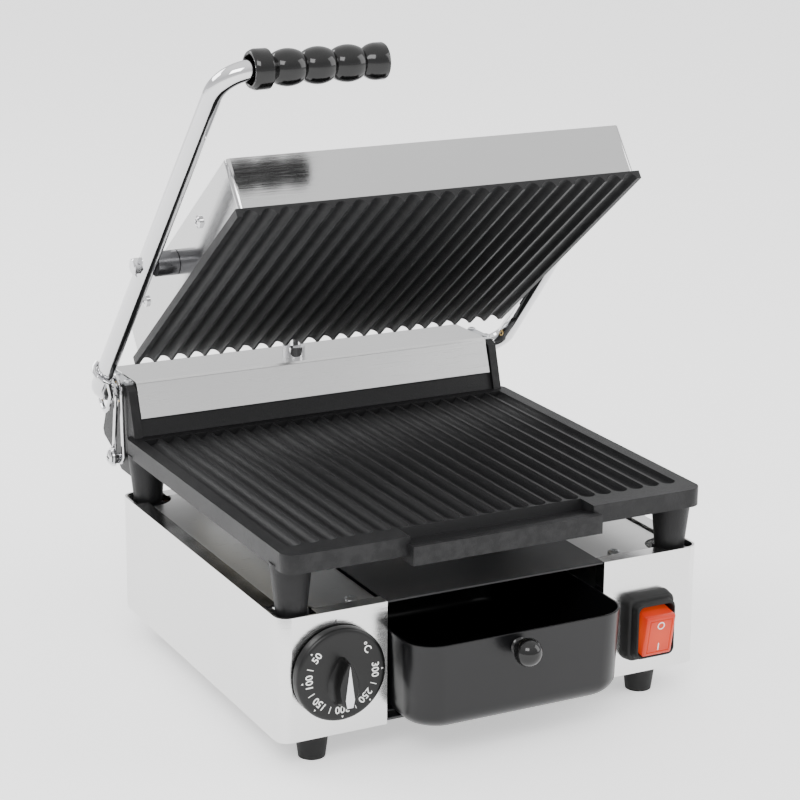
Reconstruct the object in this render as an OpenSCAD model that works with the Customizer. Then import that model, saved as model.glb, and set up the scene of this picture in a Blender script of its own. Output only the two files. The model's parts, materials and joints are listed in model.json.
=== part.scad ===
// Contact grill with a grease drawer and a counter-balanced lid on a bent rod.
// X runs to the right, Y runs to the back and Z runs up. The origin is on the table,
// under the middle of the housing. The lid is modelled raised, on its stop.

/* [Housing] */
// Width of the housing across its side panels
body_w = 296; // [260:1:356]
// Depth of the housing from front panel to back panel
body_d = 260; // [216:1:312]
// Height of the housing panels
body_h = 80; // [72:1:96]
// Thickness of the housing sheet
sheet = 1.5; // [1:0.1:2]
// Outside radius of the upright housing corners
corner_r = 8; // [5:0.5:12]
// Width of the folded edges of the panels
flange = 10; // [7:0.5:13]
// Width of the drawer opening in the front
opening_w = 153; // [128:1:184]

/* [Feet] */
// Height of the rubber feet
foot_h = 20; // [14:0.5:26]
// Radius of a foot where it meets the housing
foot_r = 11; // [8:0.5:14]
// Distance of a foot axis from the side of the housing
foot_inset_x = 30; // [22:1:40]
// Distance of a foot axis from the front and back of the housing
foot_inset_y = 20; // [18:1:30]

/* [Grill plates] */
// Height of the legs that carry the lower plate
leg_h = 29; // [24:0.5:35]
// Thickness of the rim of the lower plate
lower_t = 12; // [10:0.5:15]
// Distance of a leg axis from the housing sides
leg_inset = 14; // [12:0.5:20]
// Distance from one groove to the next
groove_pitch = 12; // [10:0.5:15]
// Radius of the cutter that makes the grooves
groove_r = 5.2; // [4:0.1:6]
// Depth of the grooves
groove_depth = 4; // [3:0.1:4.5]
// Height of the splash wall over the lower plate
splash_h = 34.5; // [30:1:42]
// Width of the upper plate
upper_w = 281; // [240:1:330]
// Length of the upper plate from front to back
upper_l = 221.4; // [186:0.1:260]
// Thickness of the upper plate
upper_t = 12; // [10:0.5:15]

/* [Lid] */
// Height of the lid cover
cover_h = 33.4; // [28:0.1:40]
// Thickness of the lid cover sheet
cover_t = 1.2; // [0.8:0.1:2]
// How much of the upper plate shows under the cover
plate_shows = 5.8; // [4:0.1:8]
// Gap between the two plates when the lid is shut
shut_gap = 0.6; // [0.3:0.1:2]
// Angle of the lid to the table when it is raised
lid_open = 37.3; // [30:0.1:42]

/* [Arm] */
// Radius of the chrome rod
rod_r = 6.2; // [5.5:0.1:7]
// Distance from the middle of the grill to the rod's side arms
arm_x = 157; // [152:0.5:188]
// Angle of the arms to the table when the lid is raised
arm_open = 48; // [44:0.5:52]
// Length of the left arm from hinge axis to grip axis
arm_l = 336; // [320:1:403]
// Distance from the hinge axis to the lid pivots
pivot_d = 149; // [142:1:157]
// Bend radius of the two bends beside the hinge
bend_r = 14; // [12:0.5:17]
// Bend radius of the bend at the grip
grip_bend_r = 20; // [16:0.5:26]
// Length of the grip
grip_l = 86; // [76:1:102]
// Height of the hinge axis over the lower plate
hinge_up = 26; // [24:0.5:29]
// Distance of the hinge axis behind the housing
hinge_back = 18; // [17:0.5:24]

/* [Grease drawer] */
// Height of the drawer
drawer_h = 56.2; // [47:0.1:58]
// Length of the drawer
drawer_l = 172; // [144:1:206]
// How far the drawer stands out of the housing when it is pushed in
drawer_out = 36; // [30:1:44]
// Thickness of the drawer wall
drawer_t = 1.5; // [1:0.1:2]
// Radius of the drawer's ball knob
ball_r = 8.8; // [7:0.1:11]

/* [Controls] */
// Radius of the thermostat knob
knob_r = 29.5; // [25:0.5:31]
// Distance of the thermostat knob from the middle of the grill
knob_x = 111; // [108:1:115]
// Distance of the switch from the middle of the grill
switch_x = 108; // [100:1:118]
// Width of the rubber surround of the switch
boot_w = 36; // [32:1:40]
// Height of the rubber surround of the switch
boot_h = 44; // [40:1:48]

/* [Hidden] */
$fn = 48;

// Small clearances
fit = 0.2;
run = 0.05;
eps = 0.01;

// Housing levels
front_y = -body_d / 2;
back_y = body_d / 2;
floor_z = foot_h;
deck_z = foot_h + body_h;

// Lower plate
plate_z = deck_z + leg_h + lower_t;
plate_under = deck_z + leg_h;
plate_front = front_y - 5;
plate_back = back_y - 2;
plate_hw = body_w / 2 - 2;
plate_corner_r = 9;
web_recess = 3;
leg_r_low = 9.5;
leg_r_high = 13;
leg_x = body_w / 2 - leg_inset;
leg_y = body_d / 2 - leg_inset;
leg_foot_z = deck_z - 2;
lip_hw = 66;
lip_out = 8;
lip_drop = 4;
groove_front = plate_front + 16;
groove_back = back_y - 17;
groove_count = floor((2 * plate_hw - 12) / groove_pitch);

// Splash wall and hinge ears
splash_t = 5;
splash_lean = 19;
splash_y = back_y - 9;
ear_t = 6;
ear_out = plate_hw - 4.5;
ear_in = ear_out - ear_t;
hinge_y = back_y + hinge_back;
hinge_z = plate_z + hinge_up;
bush_r = rod_r + 1.2;
ear_mid = (ear_in + ear_out) / 2;
ear_half = 13;
ear_back = 32;
ear_low_z = deck_z + 12;

// Lid geometry, in the frame of the lid pivots
pivot_up = 25.2;
lid_shift = 4.3;
lid_front = -upper_l / 2 - lid_shift;
lid_back = lid_front + upper_l;
upper_low = -pivot_up;
upper_top = upper_low + upper_t;
cover_low = upper_low + plate_shows;
cover_top = cover_low + cover_h;
cover_hw = upper_w / 2 - 3;
upper_groove_count = floor((upper_w - 4) / groove_pitch);

// Pivots: where they are with the lid raised
pivot_y = hinge_y - pivot_d * cos(arm_open);
pivot_z = hinge_z + pivot_d * sin(arm_open);
pivot_bolt_r = 3;
boss_gap = 0.4;

// Drawer
drawer_hw = opening_w / 2 - 1.5;
drawer_taper = 2;
drawer_corner_r = 20;
drawer_edge_r = 11;
drawer_top = floor_z + 60.5;
drawer_low = drawer_top - drawer_h;
drawer_front = front_y - drawer_out;
drawer_back = drawer_front + drawer_l;
ball_x = -6;
ball_z = drawer_top - 8.5;

// Controls
knob_z = floor_z + 41.8;
switch_z = floor_z + 33.5;
knob_t = 13;

// ---------- shared shapes ----------

// a rod along X, Y or Z that starts at p
module along_x(p, r, l) { translate(p) rotate([0, 90, 0]) cylinder(r = r, h = l); }
module along_y(p, r, l) { translate(p) rotate([-90, 0, 0]) cylinder(r = r, h = l); }
module along_z(p, r, l) { translate(p) cylinder(r = r, h = l); }

// a flat outline of w by d with round corners, centred
module round_rect(w, d, r) {
    square([w - 2 * r, d], center = true);
    square([w, d - 2 * r], center = true);
    for (x = [-1, 1])
        for (y = [-1, 1])
            translate([x * (w / 2 - r), y * (d / 2 - r)]) circle(r = r);
}

// a box from corner a to corner b
module block(a, b) { translate(a) cube(b - a); }

// a quarter bend of a round rod, in the XY plane, from the +X axis to the +Y axis
module quarter_bend(bend, r) {
    rotate_extrude(angle = 90) translate([bend, 0]) circle(r = r);
}

// a pan-head screw whose head sits at the origin and points up, shank down
module pan_screw(r, l) {
    head_h = 1.1 * r;
    difference() {
        union() {
            cylinder(r = 2 * r, h = 0.6 * head_h);
            translate([0, 0, 0.6 * head_h - eps]) cylinder(r1 = 2 * r, r2 = 1.3 * r, h = 0.4 * head_h);
            translate([0, 0, -l]) cylinder(r = r, h = l + eps);
        }
        for (a = [0, 90])
            rotate(a) translate([0, 0, head_h]) cube([2.2 * r, 0.5 * r, 1.2 * r], center = true);
    }
}

// a hexagon head or nut of size across flats s
module hexagon(s, h) { cylinder(r = s / sqrt(3), h = h, $fn = 6); }

// puts its children in the frame of the hinge, turned to the raised arm
module on_arm() { translate([0, hinge_y, hinge_z]) rotate([-arm_open, 0, 0]) children(); }

// puts its children in the frame of the lid pivots, turned to the raised lid
module on_lid() { translate([0, pivot_y, pivot_z]) rotate([-lid_open, 0, 0]) children(); }

// ---------- housing ----------

// the left half of the wrap-around panels; the right one is its mirror image
module panel_shell() {
    notch = leg_inset + leg_r_low + 1.5;
    hw = body_w / 2;
    translate([0, 0, floor_z]) linear_extrude(body_h) difference() {
        round_rect(body_w, body_d, corner_r);
        round_rect(body_w - 2 * sheet, body_d - 2 * sheet, corner_r - sheet);
        translate([-opening_w / 2, -body_d]) square([body_w, body_d]);
        translate([-hw + corner_r + flange, -1]) square([body_w, body_d]);
    }
    // folded edge beside the drawer opening
    block([-opening_w / 2 - sheet, front_y + eps, floor_z], [-opening_w / 2, front_y + flange, deck_z]);
    // folded edges along the top and the bottom, cut away at the corners
    for (z = [floor_z, deck_z - sheet]) {
        block([-hw + notch, front_y + eps, z], [-opening_w / 2, front_y + flange, z + sheet]);
        block([-hw + eps, front_y + notch, z], [-hw + flange, back_y - notch, z + sheet]);
    }
}

module left_panel() {
    color("gainsboro") difference() {
        panel_shell();
        along_y([-knob_x, front_y - 1, knob_z], 3.6, 4);
        panel_screw_places() translate([0, 0, -5]) cylinder(r = 2.1, h = 6);
    }
}

module right_panel() {
    color("gainsboro") difference() {
        mirror([1, 0, 0]) panel_shell();
        block([switch_x - 14.5, front_y - 1, switch_z - 17], [switch_x + 14.5, front_y + 3, switch_z + 17]);
        panel_screw_places() translate([0, 0, -5]) cylinder(r = 2.1, h = 6);
    }
}

rear_hw = body_w / 2 - corner_r - 1;
inlet_x = 95;
inlet_z = floor_z + 28;
gland_r = 8;

// the four screws that hold the panels together at the back, pointing out
module panel_screw_places() {
    for (x = [-1, 1])
        for (z = [14, body_h - 14])
            translate([x * (body_w / 2 - corner_r - 5), back_y, floor_z + z]) rotate([-90, 0, 0]) children();
}

module rear_panel() {
    y = back_y - 2 * sheet - fit;
    color("silver") difference() {
        union() {
            block([-rear_hw, y, floor_z + 2 * sheet], [rear_hw, y + sheet, deck_z - sheet - fit]);
            // folded edge that carries the back of the deck
            block([-leg_x + 14, y - flange, deck_z - 2 * sheet - fit],
                [leg_x - 14, y + eps, deck_z - sheet - fit]);
        }
        along_y([inlet_x, y - 1, inlet_z], gland_r + fit, sheet + 2);
        panel_screw_places() translate([0, 0, -5]) cylinder(r = 2.1, h = 6);
        for (i = [-4:4]) block([i * 14 - 2, y - 1, floor_z + 22], [i * 14 + 2, y + sheet + 1, floor_z + 52]);
    }
}

module foot_places() {
    for (x = [-1, 1])
        for (y = [-1, 1])
            translate([x * (body_w / 2 - foot_inset_x), y * (body_d / 2 - foot_inset_y)]) children();
}

module bottom_plate() {
    z = floor_z + sheet;
    color("dimgray") difference() {
        translate([0, 0, z]) linear_extrude(sheet)
            round_rect(body_w - 2 * sheet - 2 * fit, body_d - 2 * sheet - 2 * fit, corner_r - sheet);
        foot_places() translate([0, 0, z - 1]) cylinder(r = 2.5, h = sheet + 2);
        for (i = [-5:5]) block([i * 20 - 3, 60, z - 1], [i * 20 + 3, 95, z + sheet + 1]);
        // room for the folded edges beside the drawer opening
        for (x = [-1, 1])
            translate([x * (opening_w / 2 + sheet / 2), front_y + flange / 2, z])
                cube([sheet + 2 * fit, flange + 2 * fit, 4 * sheet], center = true);
    }
}

// four posts under the legs of the casting, joined by two cross rails
module inner_frame() {
    z0 = floor_z + 2 * sheet;
    z1 = leg_foot_z;
    post = 16;
    color([0.1, 0.1, 0.1]) difference() {
        union() {
            for (x = [-1, 1])
                for (y = [-1, 1])
                    translate([x * leg_x, y * leg_y, 0]) difference() {
                        block([-post / 2, -post / 2, z0], [post / 2, post / 2, z1]);
                        block([-post / 2 + 2, -post / 2 + 2, z0 + 2], [post / 2 - 2, post / 2 - 2, z1 - 3]);
                        // each post is open on its inner side, where the wires pass
                        translate([x * -post / 2, 0, (z0 + z1) / 2])
                            cube([6, post - 4, z1 - z0 - 16], center = true);
                    }
            for (x = [-1, 1])
                block([x * leg_x - 4, -leg_y + post / 2 - eps, z1 - 14],
                    [x * leg_x + 4, leg_y - post / 2 + eps, z1 - 12]);
            block([-leg_x + post / 2 - eps, leg_y - 4, z1 - 7],
                [leg_x - post / 2 + eps, leg_y + 4, z1 - 5]);
        }
        for (x = [-1, 1])
            for (y = [-1, 1])
                along_z([x * leg_x, y * leg_y, z1 - 4], 3.2, 5);
    }
}

deck_low = deck_z - 2 * sheet - fit / 2;
deck_hole_hw = opening_w / 2 + sheet + fit;
deck_screw_y = front_y + 16;
shield_back = 10;

module top_deck() {
    hw = body_w / 2 - flange - 2;
    z = deck_low;
    color("lightgray") difference() {
        block([-hw, front_y + sheet + fit, z], [hw, back_y - 2 * sheet - 2 * fit - flange, z + sheet]);
        // room for the legs of the casting
        for (x = [-1, 1])
            for (y = [-1, 1])
                along_z([x * leg_x, y * leg_y, z - 1], leg_r_low + 6, sheet + 2);
        // opening over the grease drawer
        block([-deck_hole_hw, front_y - 1, z - 1], [deck_hole_hw, shield_back, z + sheet + 1]);
        // wires and thermostat tube go up to the lower plate here
        block([-20, shield_back + 20, z - 1], [20, shield_back + 50, z + sheet + 1]);
        for (x = [-1, 1]) along_z([x * (deck_hole_hw + 15), deck_screw_y, z - 1], 2, sheet + 2);
    }
}

module drip_shield() {
    hw = opening_w / 2 - fit;
    z = deck_z - sheet;
    color([0.12, 0.12, 0.12]) block([-hw, front_y + 1, z], [hw, shield_back + 12, z + sheet]);
}

// ---------- grease drawer ----------

rail_t = 1;

// a strip that the drawer slides on, with an upright edge that guides its side
module drawer_rail(side) {
    x_out = opening_w / 2 + sheet;
    x_in = drawer_hw - drawer_edge_r - 16;
    z = floor_z + 2 * sheet;
    y0 = front_y + flange + 1;
    y1 = drawer_back + 20;
    color("silver") mirror([side < 0 ? 1 : 0, 0, 0]) {
        block([x_in, y0, z], [x_out, y1, z + rail_t]);
        block([x_out - rail_t, y0, z], [x_out, y1, z + 22]);
    }
}

module drawer_rail_left() { drawer_rail(-1); }
module drawer_rail_right() { drawer_rail(1); }

// a thin level slice of the drawer, smaller all round by shrink
module tub_slice(shrink, z) {
    hw = drawer_hw - shrink;
    r = drawer_corner_r - shrink;
    for (x = [-hw + r, hw - r])
        for (y = [drawer_front + shrink + r, drawer_back - shrink - r])
            translate([x, y, z]) cylinder(r = r, h = 0.1, $fn = 40);
}

// a tub with a rounded bottom edge and nearly upright walls, between two heights
module tub(inset, z0, z1) {
    r = drawer_edge_r - inset;
    hull() {
        for (a = [0:18:90])
            tub_slice(inset + r * (1 - sin(a)) + drawer_taper * (1 - r * (1 - cos(a)) / drawer_h),
                z0 + r * (1 - cos(a)));
        tub_slice(inset, z1);
    }
}

knob_seat = drawer_front - 0.2;
seat_t = 3.6;

module grease_drawer() {
    color([0.1, 0.1, 0.1]) difference() {
        union() {
            difference() {
                tub(0, drawer_low, drawer_top - 0.1);
                tub(drawer_t, drawer_low + drawer_t, drawer_top + 0.2);
            }
            // flat seat for the ball knob and its screw
            along_y([ball_x, knob_seat, ball_z], 6.5, seat_t);
        }
        along_y([ball_x, drawer_front - 5, ball_z], 2.1, 20);
    }
}

ball_stem = 5;

module drawer_ball_knob() {
    color([0.06, 0.06, 0.06]) translate([ball_x, knob_seat, ball_z]) rotate([90, 0, 0])
        difference() {
            rotate_extrude() {
                difference() {
                    translate([0, ball_stem + ball_r - 2]) circle(r = ball_r);
                    translate([-2 * ball_r, -1]) square([2 * ball_r, 4 * ball_r]);
                }
                polygon([[0, 0], [5.6, 0], [5.6, 1.2], [4.6, 2], [4.6, ball_stem], [0, ball_stem]]);
            }
            translate([0, 0, -1]) cylinder(r = 2.05, h = 12);
        }
}

module drawer_knob_screw() {
    color("silver") translate([ball_x, knob_seat + seat_t, ball_z]) rotate([-90, 0, 0])
        pan_screw(2, seat_t + 8);
}

// ---------- lower plate with splash wall, hinge ears and legs ----------

// one groove cutter: a round bar with a ball end, along -Y from the origin
module ball_cutter(r, l) {
    rotate([90, 0, 0]) rotate_extrude() {
        square([r, l]);
        intersection() {
            translate([0, l]) circle(r = r);
            translate([0, l - eps]) square([r, r + 1]);
        }
    }
}

module splash_outline() {
    top = plate_z + splash_h;
    lean = splash_h * tan(splash_lean);
    polygon([[splash_y, plate_z - 4], [splash_y, plate_z], [splash_y + lean, top],
        [splash_y + lean + splash_t, top], [splash_y + lean + splash_t, plate_z + splash_h - 8],
        [plate_back + 3, plate_z - 4]]);
}

ear_top = hinge_z + bush_r;

module ear_outline() {
    difference() {
        polygon([[splash_y - 3, plate_z - 2], [splash_y + 7, plate_z + splash_h - 4],
            [hinge_y - ear_half - 2, ear_top], [hinge_y + ear_half, ear_top],
            [hinge_y + ear_half + 3, ear_top - 3], [hinge_y + ear_back - 10, hinge_z - 12],
            [hinge_y + ear_back, ear_low_z + 20], [hinge_y + ear_back - 2, ear_low_z + 16],
            [hinge_y + 17, ear_low_z + 11], [hinge_y - 2, ear_low_z],
            [plate_back - 6, ear_low_z], [plate_back - 6, plate_z - 2]]);
        // seat of the bush, open at the top
        translate([hinge_y, hinge_z]) circle(r = bush_r + run);
        translate([hinge_y - bush_r - run, hinge_z]) square([2 * bush_r + 2 * run, 40]);
    }
}

module lower_plate() {
    mid_y = (plate_front + plate_back) / 2;
    color([0.16, 0.16, 0.17]) difference() {
        union() {
            translate([0, mid_y, plate_under]) linear_extrude(lower_t)
                round_rect(2 * plate_hw, plate_back - plate_front, plate_corner_r);
            // lip that throws the grease forward into the drawer
            block([-lip_hw, plate_front - lip_out, plate_under - lip_drop],
                [lip_hw, plate_front + 6, plate_z - lip_drop]);
            // splash wall and the two ears that carry the hinge
            rotate([90, 0, 90]) translate([0, 0, -ear_in - 1]) linear_extrude(2 * ear_in + 2)
                splash_outline();
            for (x = [-ear_out, ear_in])
                translate([x, 0, 0]) rotate([90, 0, 90]) linear_extrude(ear_t) ear_outline();
            for (x = [-1, 1])
                for (y = [-1, 1])
                    translate([x * leg_x, y * leg_y, leg_foot_z])
                        cylinder(r1 = leg_r_low, r2 = leg_r_high, h = plate_under - leg_foot_z + 2);
            element_screw_places() translate([0, 0, insulation_low])
                cylinder(r = boss_r, h = plate_under + 1 - insulation_low);
        }
        // grooves
        for (i = [0:groove_count - 1])
            translate([(i - (groove_count - 1) / 2) * groove_pitch, groove_back,
                plate_z + groove_r - groove_depth])
                ball_cutter(groove_r, groove_back - groove_front - groove_r);
        // the lip's slope
        translate([-lip_hw + 2, plate_front - lip_out + 1.5, plate_z])
            rotate([-11, 0, 0]) translate([0, -4, -lip_drop + 0.8]) cube([2 * lip_hw - 4, 26, 10]);
        // pocket for the element under the plate
        difference() {
            block([-plate_hw + 32, pocket_front, plate_under - 1],
                [plate_hw - 32, pocket_back, plate_under + web_recess]);
            element_screw_places() translate([0, 0, plate_under - 2]) cylinder(r = boss_r, h = 10);
        }
        element_screw_places() translate([0, 0, plate_under - 20]) cylinder(r = 2, h = 20 + web_recess + 2);
        // bolt holes in the legs
        for (x = [-1, 1])
            for (y = [-1, 1])
                along_z([x * leg_x, y * leg_y, leg_foot_z - 1], 3, 19);
        // room for the straps over the bushes, above the ears
        for (x = [-ear_out - 1, ear_in])
            block([x, hinge_y - ear_half - 4, ear_top], [x + ear_t + 1, hinge_y + ear_half + 1, ear_top + 8]);
        // screw holes for the spring and the keepers
        along_x([-ear_out - 1, spring_y, spring_z], 2.5, 9);
        for (x = [-1, 1])
            for (z = [-1, 1])
                along_z([x * ear_mid, hinge_y + z * keeper_pitch, ear_top - 9.5], 1.5, 12);
    }
}

module leg_bolts() {
    color("silver") for (x = [-1, 1])
        for (y = [-1, 1])
            translate([x * leg_x, y * leg_y, leg_foot_z - 3 - 4]) {
                hexagon(10, 4);
                cylinder(r = 3 - run, h = 4 + 3 + 16);
            }
}

// ---------- heating elements ----------

// a flat hairpin element: four runs along Y joined by three bends, centred on X = 0
module hairpin(reach, y0, y1, r) {
    step = 2 * reach / 3;
    bend = step / 2;
    for (i = [0:3]) along_y([-reach + i * step, y0 + bend, 0], r, y1 - y0 - 2 * bend);
    for (i = [0, 2])
        translate([-reach + (i + 0.5) * step, y0 + bend, 0]) rotate(180)
            rotate_extrude(angle = 180) translate([bend, 0]) circle(r = r);
    translate([0, y1 - bend, 0]) rotate_extrude(angle = 180) translate([bend, 0]) circle(r = r);
    for (x = [-1, 1]) along_y([x * reach, y1 - bend, 0], r * 0.6, bend + 4);
}

element_r = 3.2;
element_reach = 96;
pocket_front = plate_front + 30;
pocket_back = groove_back - 8;
element_y0 = pocket_front + 6;
element_y1 = pocket_back - 14;
element_z = plate_under + web_recess - element_r - run;

module element_lower() {
    color("dimgray") translate([0, 0, element_z]) hairpin(element_reach, element_y0, element_y1, element_r);
}

boss_r = 5;
clamp_t = 1.5;
insulation_t = 5;
insulation_low = element_z - element_r - run - insulation_t;
probe_r = 2.6;

// places of the screws that hold an element, its insulation and its clamp
module element_screw_places() {
    for (x = [-1, 1])
        for (y = [-1, 1])
            translate([x * element_reach * 2 / 3, y * 48, 0]) children();
}

module insulation_lower() {
    color("beige") difference() {
        block([-element_reach - 10, pocket_front + 4, insulation_low],
            [element_reach + 10, pocket_back - 4, insulation_low + insulation_t]);
        element_screw_places() translate([0, 0, insulation_low - 1])
            cylinder(r = boss_r + fit, h = insulation_t + 2);
        along_z([0, 0, insulation_low - 1], 3, insulation_t + 2);
    }
}

module element_clamp_lower() {
    z = insulation_low - clamp_t;
    color("silver") difference() {
        block([-element_reach - 8, pocket_front + 8, z], [element_reach + 8, pocket_back - 8, z + clamp_t]);
        element_screw_places() translate([0, 0, z - 1]) cylinder(r = 2.2, h = clamp_t + 2);
        along_z([0, 0, z - 1], 3, clamp_t + 2);
    }
}

module element_screws_lower() {
    color("silver") element_screw_places() translate([0, 0, insulation_low - clamp_t]) rotate([180, 0, 0])
        pan_screw(2 - run, clamp_t + insulation_t + 3);
}

// ---------- rear cover over the hinge ----------

cover_front_y = splash_y + splash_h * tan(splash_lean) - 0.4;
rear_cover_hw = ear_in - 1;
rear_cover_z = plate_z + splash_h;
rear_cover_back = hinge_y + 27;
flap_len = 24;
rear_sheet = 1.2;
conduit_x = -11;
conduit_y = hinge_y - 2;
gland_stem = rear_sheet + 1.6;

module rear_cover_outline() {
    y0 = cover_front_y - 0.3;
    low_y = y0 - flap_len * sin(splash_lean);
    low_z = rear_cover_z - flap_len * cos(splash_lean);
    t = rear_sheet;
    polygon([[low_y, low_z], [low_y - t, low_z], [y0 - t, rear_cover_z], [y0 + 1, rear_cover_z + t],
        [rear_cover_back, rear_cover_z + t], [rear_cover_back + t, rear_cover_z],
        [rear_cover_back + t, rear_cover_z - 48], [rear_cover_back, rear_cover_z - 48],
        [rear_cover_back, rear_cover_z], [y0, rear_cover_z]]);
}

module rear_cover() {
    color("gainsboro") difference() {
        rotate([90, 0, 90]) translate([0, 0, -rear_cover_hw]) linear_extrude(2 * rear_cover_hw)
            rear_cover_outline();
        along_z([conduit_x, conduit_y, rear_cover_z - 1], gland_r - 1 + fit, 4);
    }
}

// flexible conduit: from the rear cover over the hinge into the back of the lid
conduit_r = 5;
lid_gland_c = (cover_low + cover_top) / 2;
function lid_to_row(y, z) = [pivot_y + y * cos(lid_open) + z * sin(lid_open),
    pivot_z - y * sin(lid_open) + z * cos(lid_open)];

module conduit_gland_rear() {
    color("silver") translate([conduit_x, conduit_y, rear_cover_z + rear_sheet]) difference() {
        union() {
            cylinder(r = gland_r, h = 8);
            translate([0, 0, -gland_stem]) cylinder(r = gland_r - 1, h = gland_stem + eps);
        }
        translate([0, 0, -6]) cylinder(r = conduit_r + run, h = 20);
    }
}

module conduit_gland_lid() {
    color("silver") on_lid() translate([conduit_x, lid_back - 4, lid_gland_c]) rotate([-90, 0, 0])
        difference() {
        union() {
            translate([0, 0, 3]) cylinder(r = gland_r, h = 8);
            translate([0, 0, -2]) cylinder(r = gland_r - 1, h = 6);
        }
        translate([0, 0, -3]) cylinder(r = conduit_r + run, h = 20);
    }
}

// a curve from one point and direction to another, as a row of points
function bezier(a, b, c, d, t) = (1 - t) * (1 - t) * (1 - t) * a + 3 * t * (1 - t) * (1 - t) * b
    + 3 * t * t * (1 - t) * c + t * t * t * d;

// points of the conduit's middle line, as [y, z], with straight ends inside the two glands
conduit_low = [conduit_y, rear_cover_z + rear_sheet - gland_stem];
conduit_mouth = [conduit_y, rear_cover_z + rear_sheet + 8];
lid_mouth = lid_to_row(lid_back + 7, lid_gland_c);
lid_way = lid_to_row(lid_back + 8, lid_gland_c) - lid_mouth;
conduit_steps = 6;
conduit_path = concat([conduit_low], [for (i = [0:2 * conduit_steps])
    bezier(conduit_mouth, conduit_mouth + [0, 14], lid_mouth + 14 * lid_way, lid_mouth,
    i / (2 * conduit_steps))],
    [lid_mouth - 10 * lid_way]);

// a smooth curve through rows of points, steps points to each span
function spline(p, steps) = [for (i = [0:len(p) - 2]) for (k = [0:steps - 1]) let (
    t = k / steps, a = p[max(i - 1, 0)], b = p[i], c = p[i + 1], d = p[min(i + 2, len(p) - 1)])
    0.5 * (2 * b + t * (c - a) + t * t * (2 * a - 5 * b + 4 * c - d) + t * t * t * (3 * b - a - 3 * c + d))];

function unit(v) = v / norm(v);
function way(p, i) = unit(p[min(i + 1, len(p) - 1)] - p[max(i - 1, 0)]);
function across(v, t) = unit(v - (v * t) * t);
function sides_of(p, v, i) = i >= len(p) ? []
    : let (n = across(v, way(p, i))) concat([n], sides_of(p, n, i + 1));

// a round wire or tube of radius r along a row of 3-D points, from point first to point last
module wire(p, r, sides, first, last) {
    normals = sides_of(p, across([0.31, 0.52, 0.8], way(p, 0)), 0);
    skin_points = [for (i = [first:last]) let (n = normals[i], m = cross(way(p, i), n))
        for (k = [0:sides - 1]) let (a = 360 * k / sides) p[i] + r * cos(a) * n + r * sin(a) * m];
    skin = [for (i = [0:last - first - 1]) for (k = [0:sides - 1]) let (j = (k + 1) % sides)
        [i * sides + k, (i + 1) * sides + k, (i + 1) * sides + j, i * sides + j]];
    first_cap = [for (k = [0:sides - 1]) k];
    last_cap = [for (k = [0:sides - 1]) (last - first + 1) * sides - 1 - k];
    polyhedron(points = skin_points, faces = concat(skin, [first_cap, last_cap]));
}

module conduit_part(first, last) {
    middle = [for (p = conduit_path) [conduit_x, p[0], p[1]]];
    color("silver") wire(middle, conduit_r, 16, first, last);
}

module conduit_lower() { conduit_part(0, conduit_steps + 1); }

// a hair's gap keeps the two lengths apart
module conduit_upper() {
    step = conduit_path[conduit_steps + 2] - conduit_path[conduit_steps + 1];
    gap = 0.02 * step / norm(step);
    translate([0, gap[0], gap[1]]) conduit_part(conduit_steps + 1, len(conduit_path) - 1);
}

// ---------- hinge ----------

keeper_pitch = 10.6;
keeper_t = 1.6;

module hinge_bush(side) {
    color("darkgoldenrod") translate([side * ear_mid - ear_t / 2, hinge_y, hinge_z])
        rotate([0, 90, 0]) difference() {
            cylinder(r = bush_r - run, h = ear_t);
            translate([0, 0, -1]) cylinder(r = rod_r + run, h = ear_t + 2);
        }
}

module hinge_bush_left() { hinge_bush(-1); }
module hinge_bush_right() { hinge_bush(1); }

// straps over the bushes
module hinge_keepers() {
    color("silver") for (x = [-1, 1])
        translate([x * ear_mid, hinge_y, ear_top]) difference() {
            translate([-ear_t / 2, -ear_half - 0.5, 0]) cube([ear_t, 2 * ear_half + 0.5, keeper_t]);
            for (y = [-1, 1]) along_z([0, y * keeper_pitch, -1], 1.7, 5);
        }
}

module keeper_screws() {
    color("silver") for (x = [-1, 1])
        for (y = [-1, 1])
            translate([x * ear_mid, hinge_y + y * keeper_pitch, ear_top + keeper_t]) pan_screw(1.5 - run, 9);
}

// ---------- rod, grip and lid pivots ----------

grip_start = -arm_x + grip_bend_r - 3;
bore_end = 7.5;
right_arm_end = pivot_d + 16;

module arm_rod() {
    straight = arm_x - bend_r;
    color("silver") on_arm() difference() {
        union() {
            along_x([-straight, 0, 0], rod_r, 2 * straight);
            // the two bends beside the hinge
            translate([-straight, -bend_r, 0]) rotate(90) quarter_bend(bend_r, rod_r);
            translate([straight, -bend_r, 0]) quarter_bend(bend_r, rod_r);
            // left arm up to the grip, and the short right arm
            along_y([-arm_x, -(arm_l - grip_bend_r), 0], rod_r, arm_l - grip_bend_r - bend_r);
            along_y([arm_x, -right_arm_end, 0], rod_r, right_arm_end - bend_r);
            translate([arm_x, -right_arm_end, 0]) rotate([90, 0, 0])
                cylinder(r1 = rod_r, r2 = rod_r - 2, h = 2);
            // bend and stub that carry the grip
            translate([-arm_x + grip_bend_r, -(arm_l - grip_bend_r), 0]) rotate(180)
                quarter_bend(grip_bend_r, rod_r);
            along_x([-arm_x + grip_bend_r, -arm_l, 0], rod_r, grip_l - bore_end - 3 - 0.5);
        }
        for (x = [-1, 1]) along_x([x * arm_x - 10, -pivot_d, 0], pivot_bolt_r + run, 20);
        // flat seats for the bolt heads and the spacers
        for (x = [-1, 1]) for (s = [-1, 1])
            translate([x * arm_x + s * (rod_r - 0.8 + 2), -pivot_d, 0]) cube([4, 17, 20], center = true);
    }
}

// radius of the grip at a part of its way through the finger bulges, 0 to 3
function bulge_at(u, low, high) = low + (high - low) * sqrt(abs(sin(180 * u)));

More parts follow.
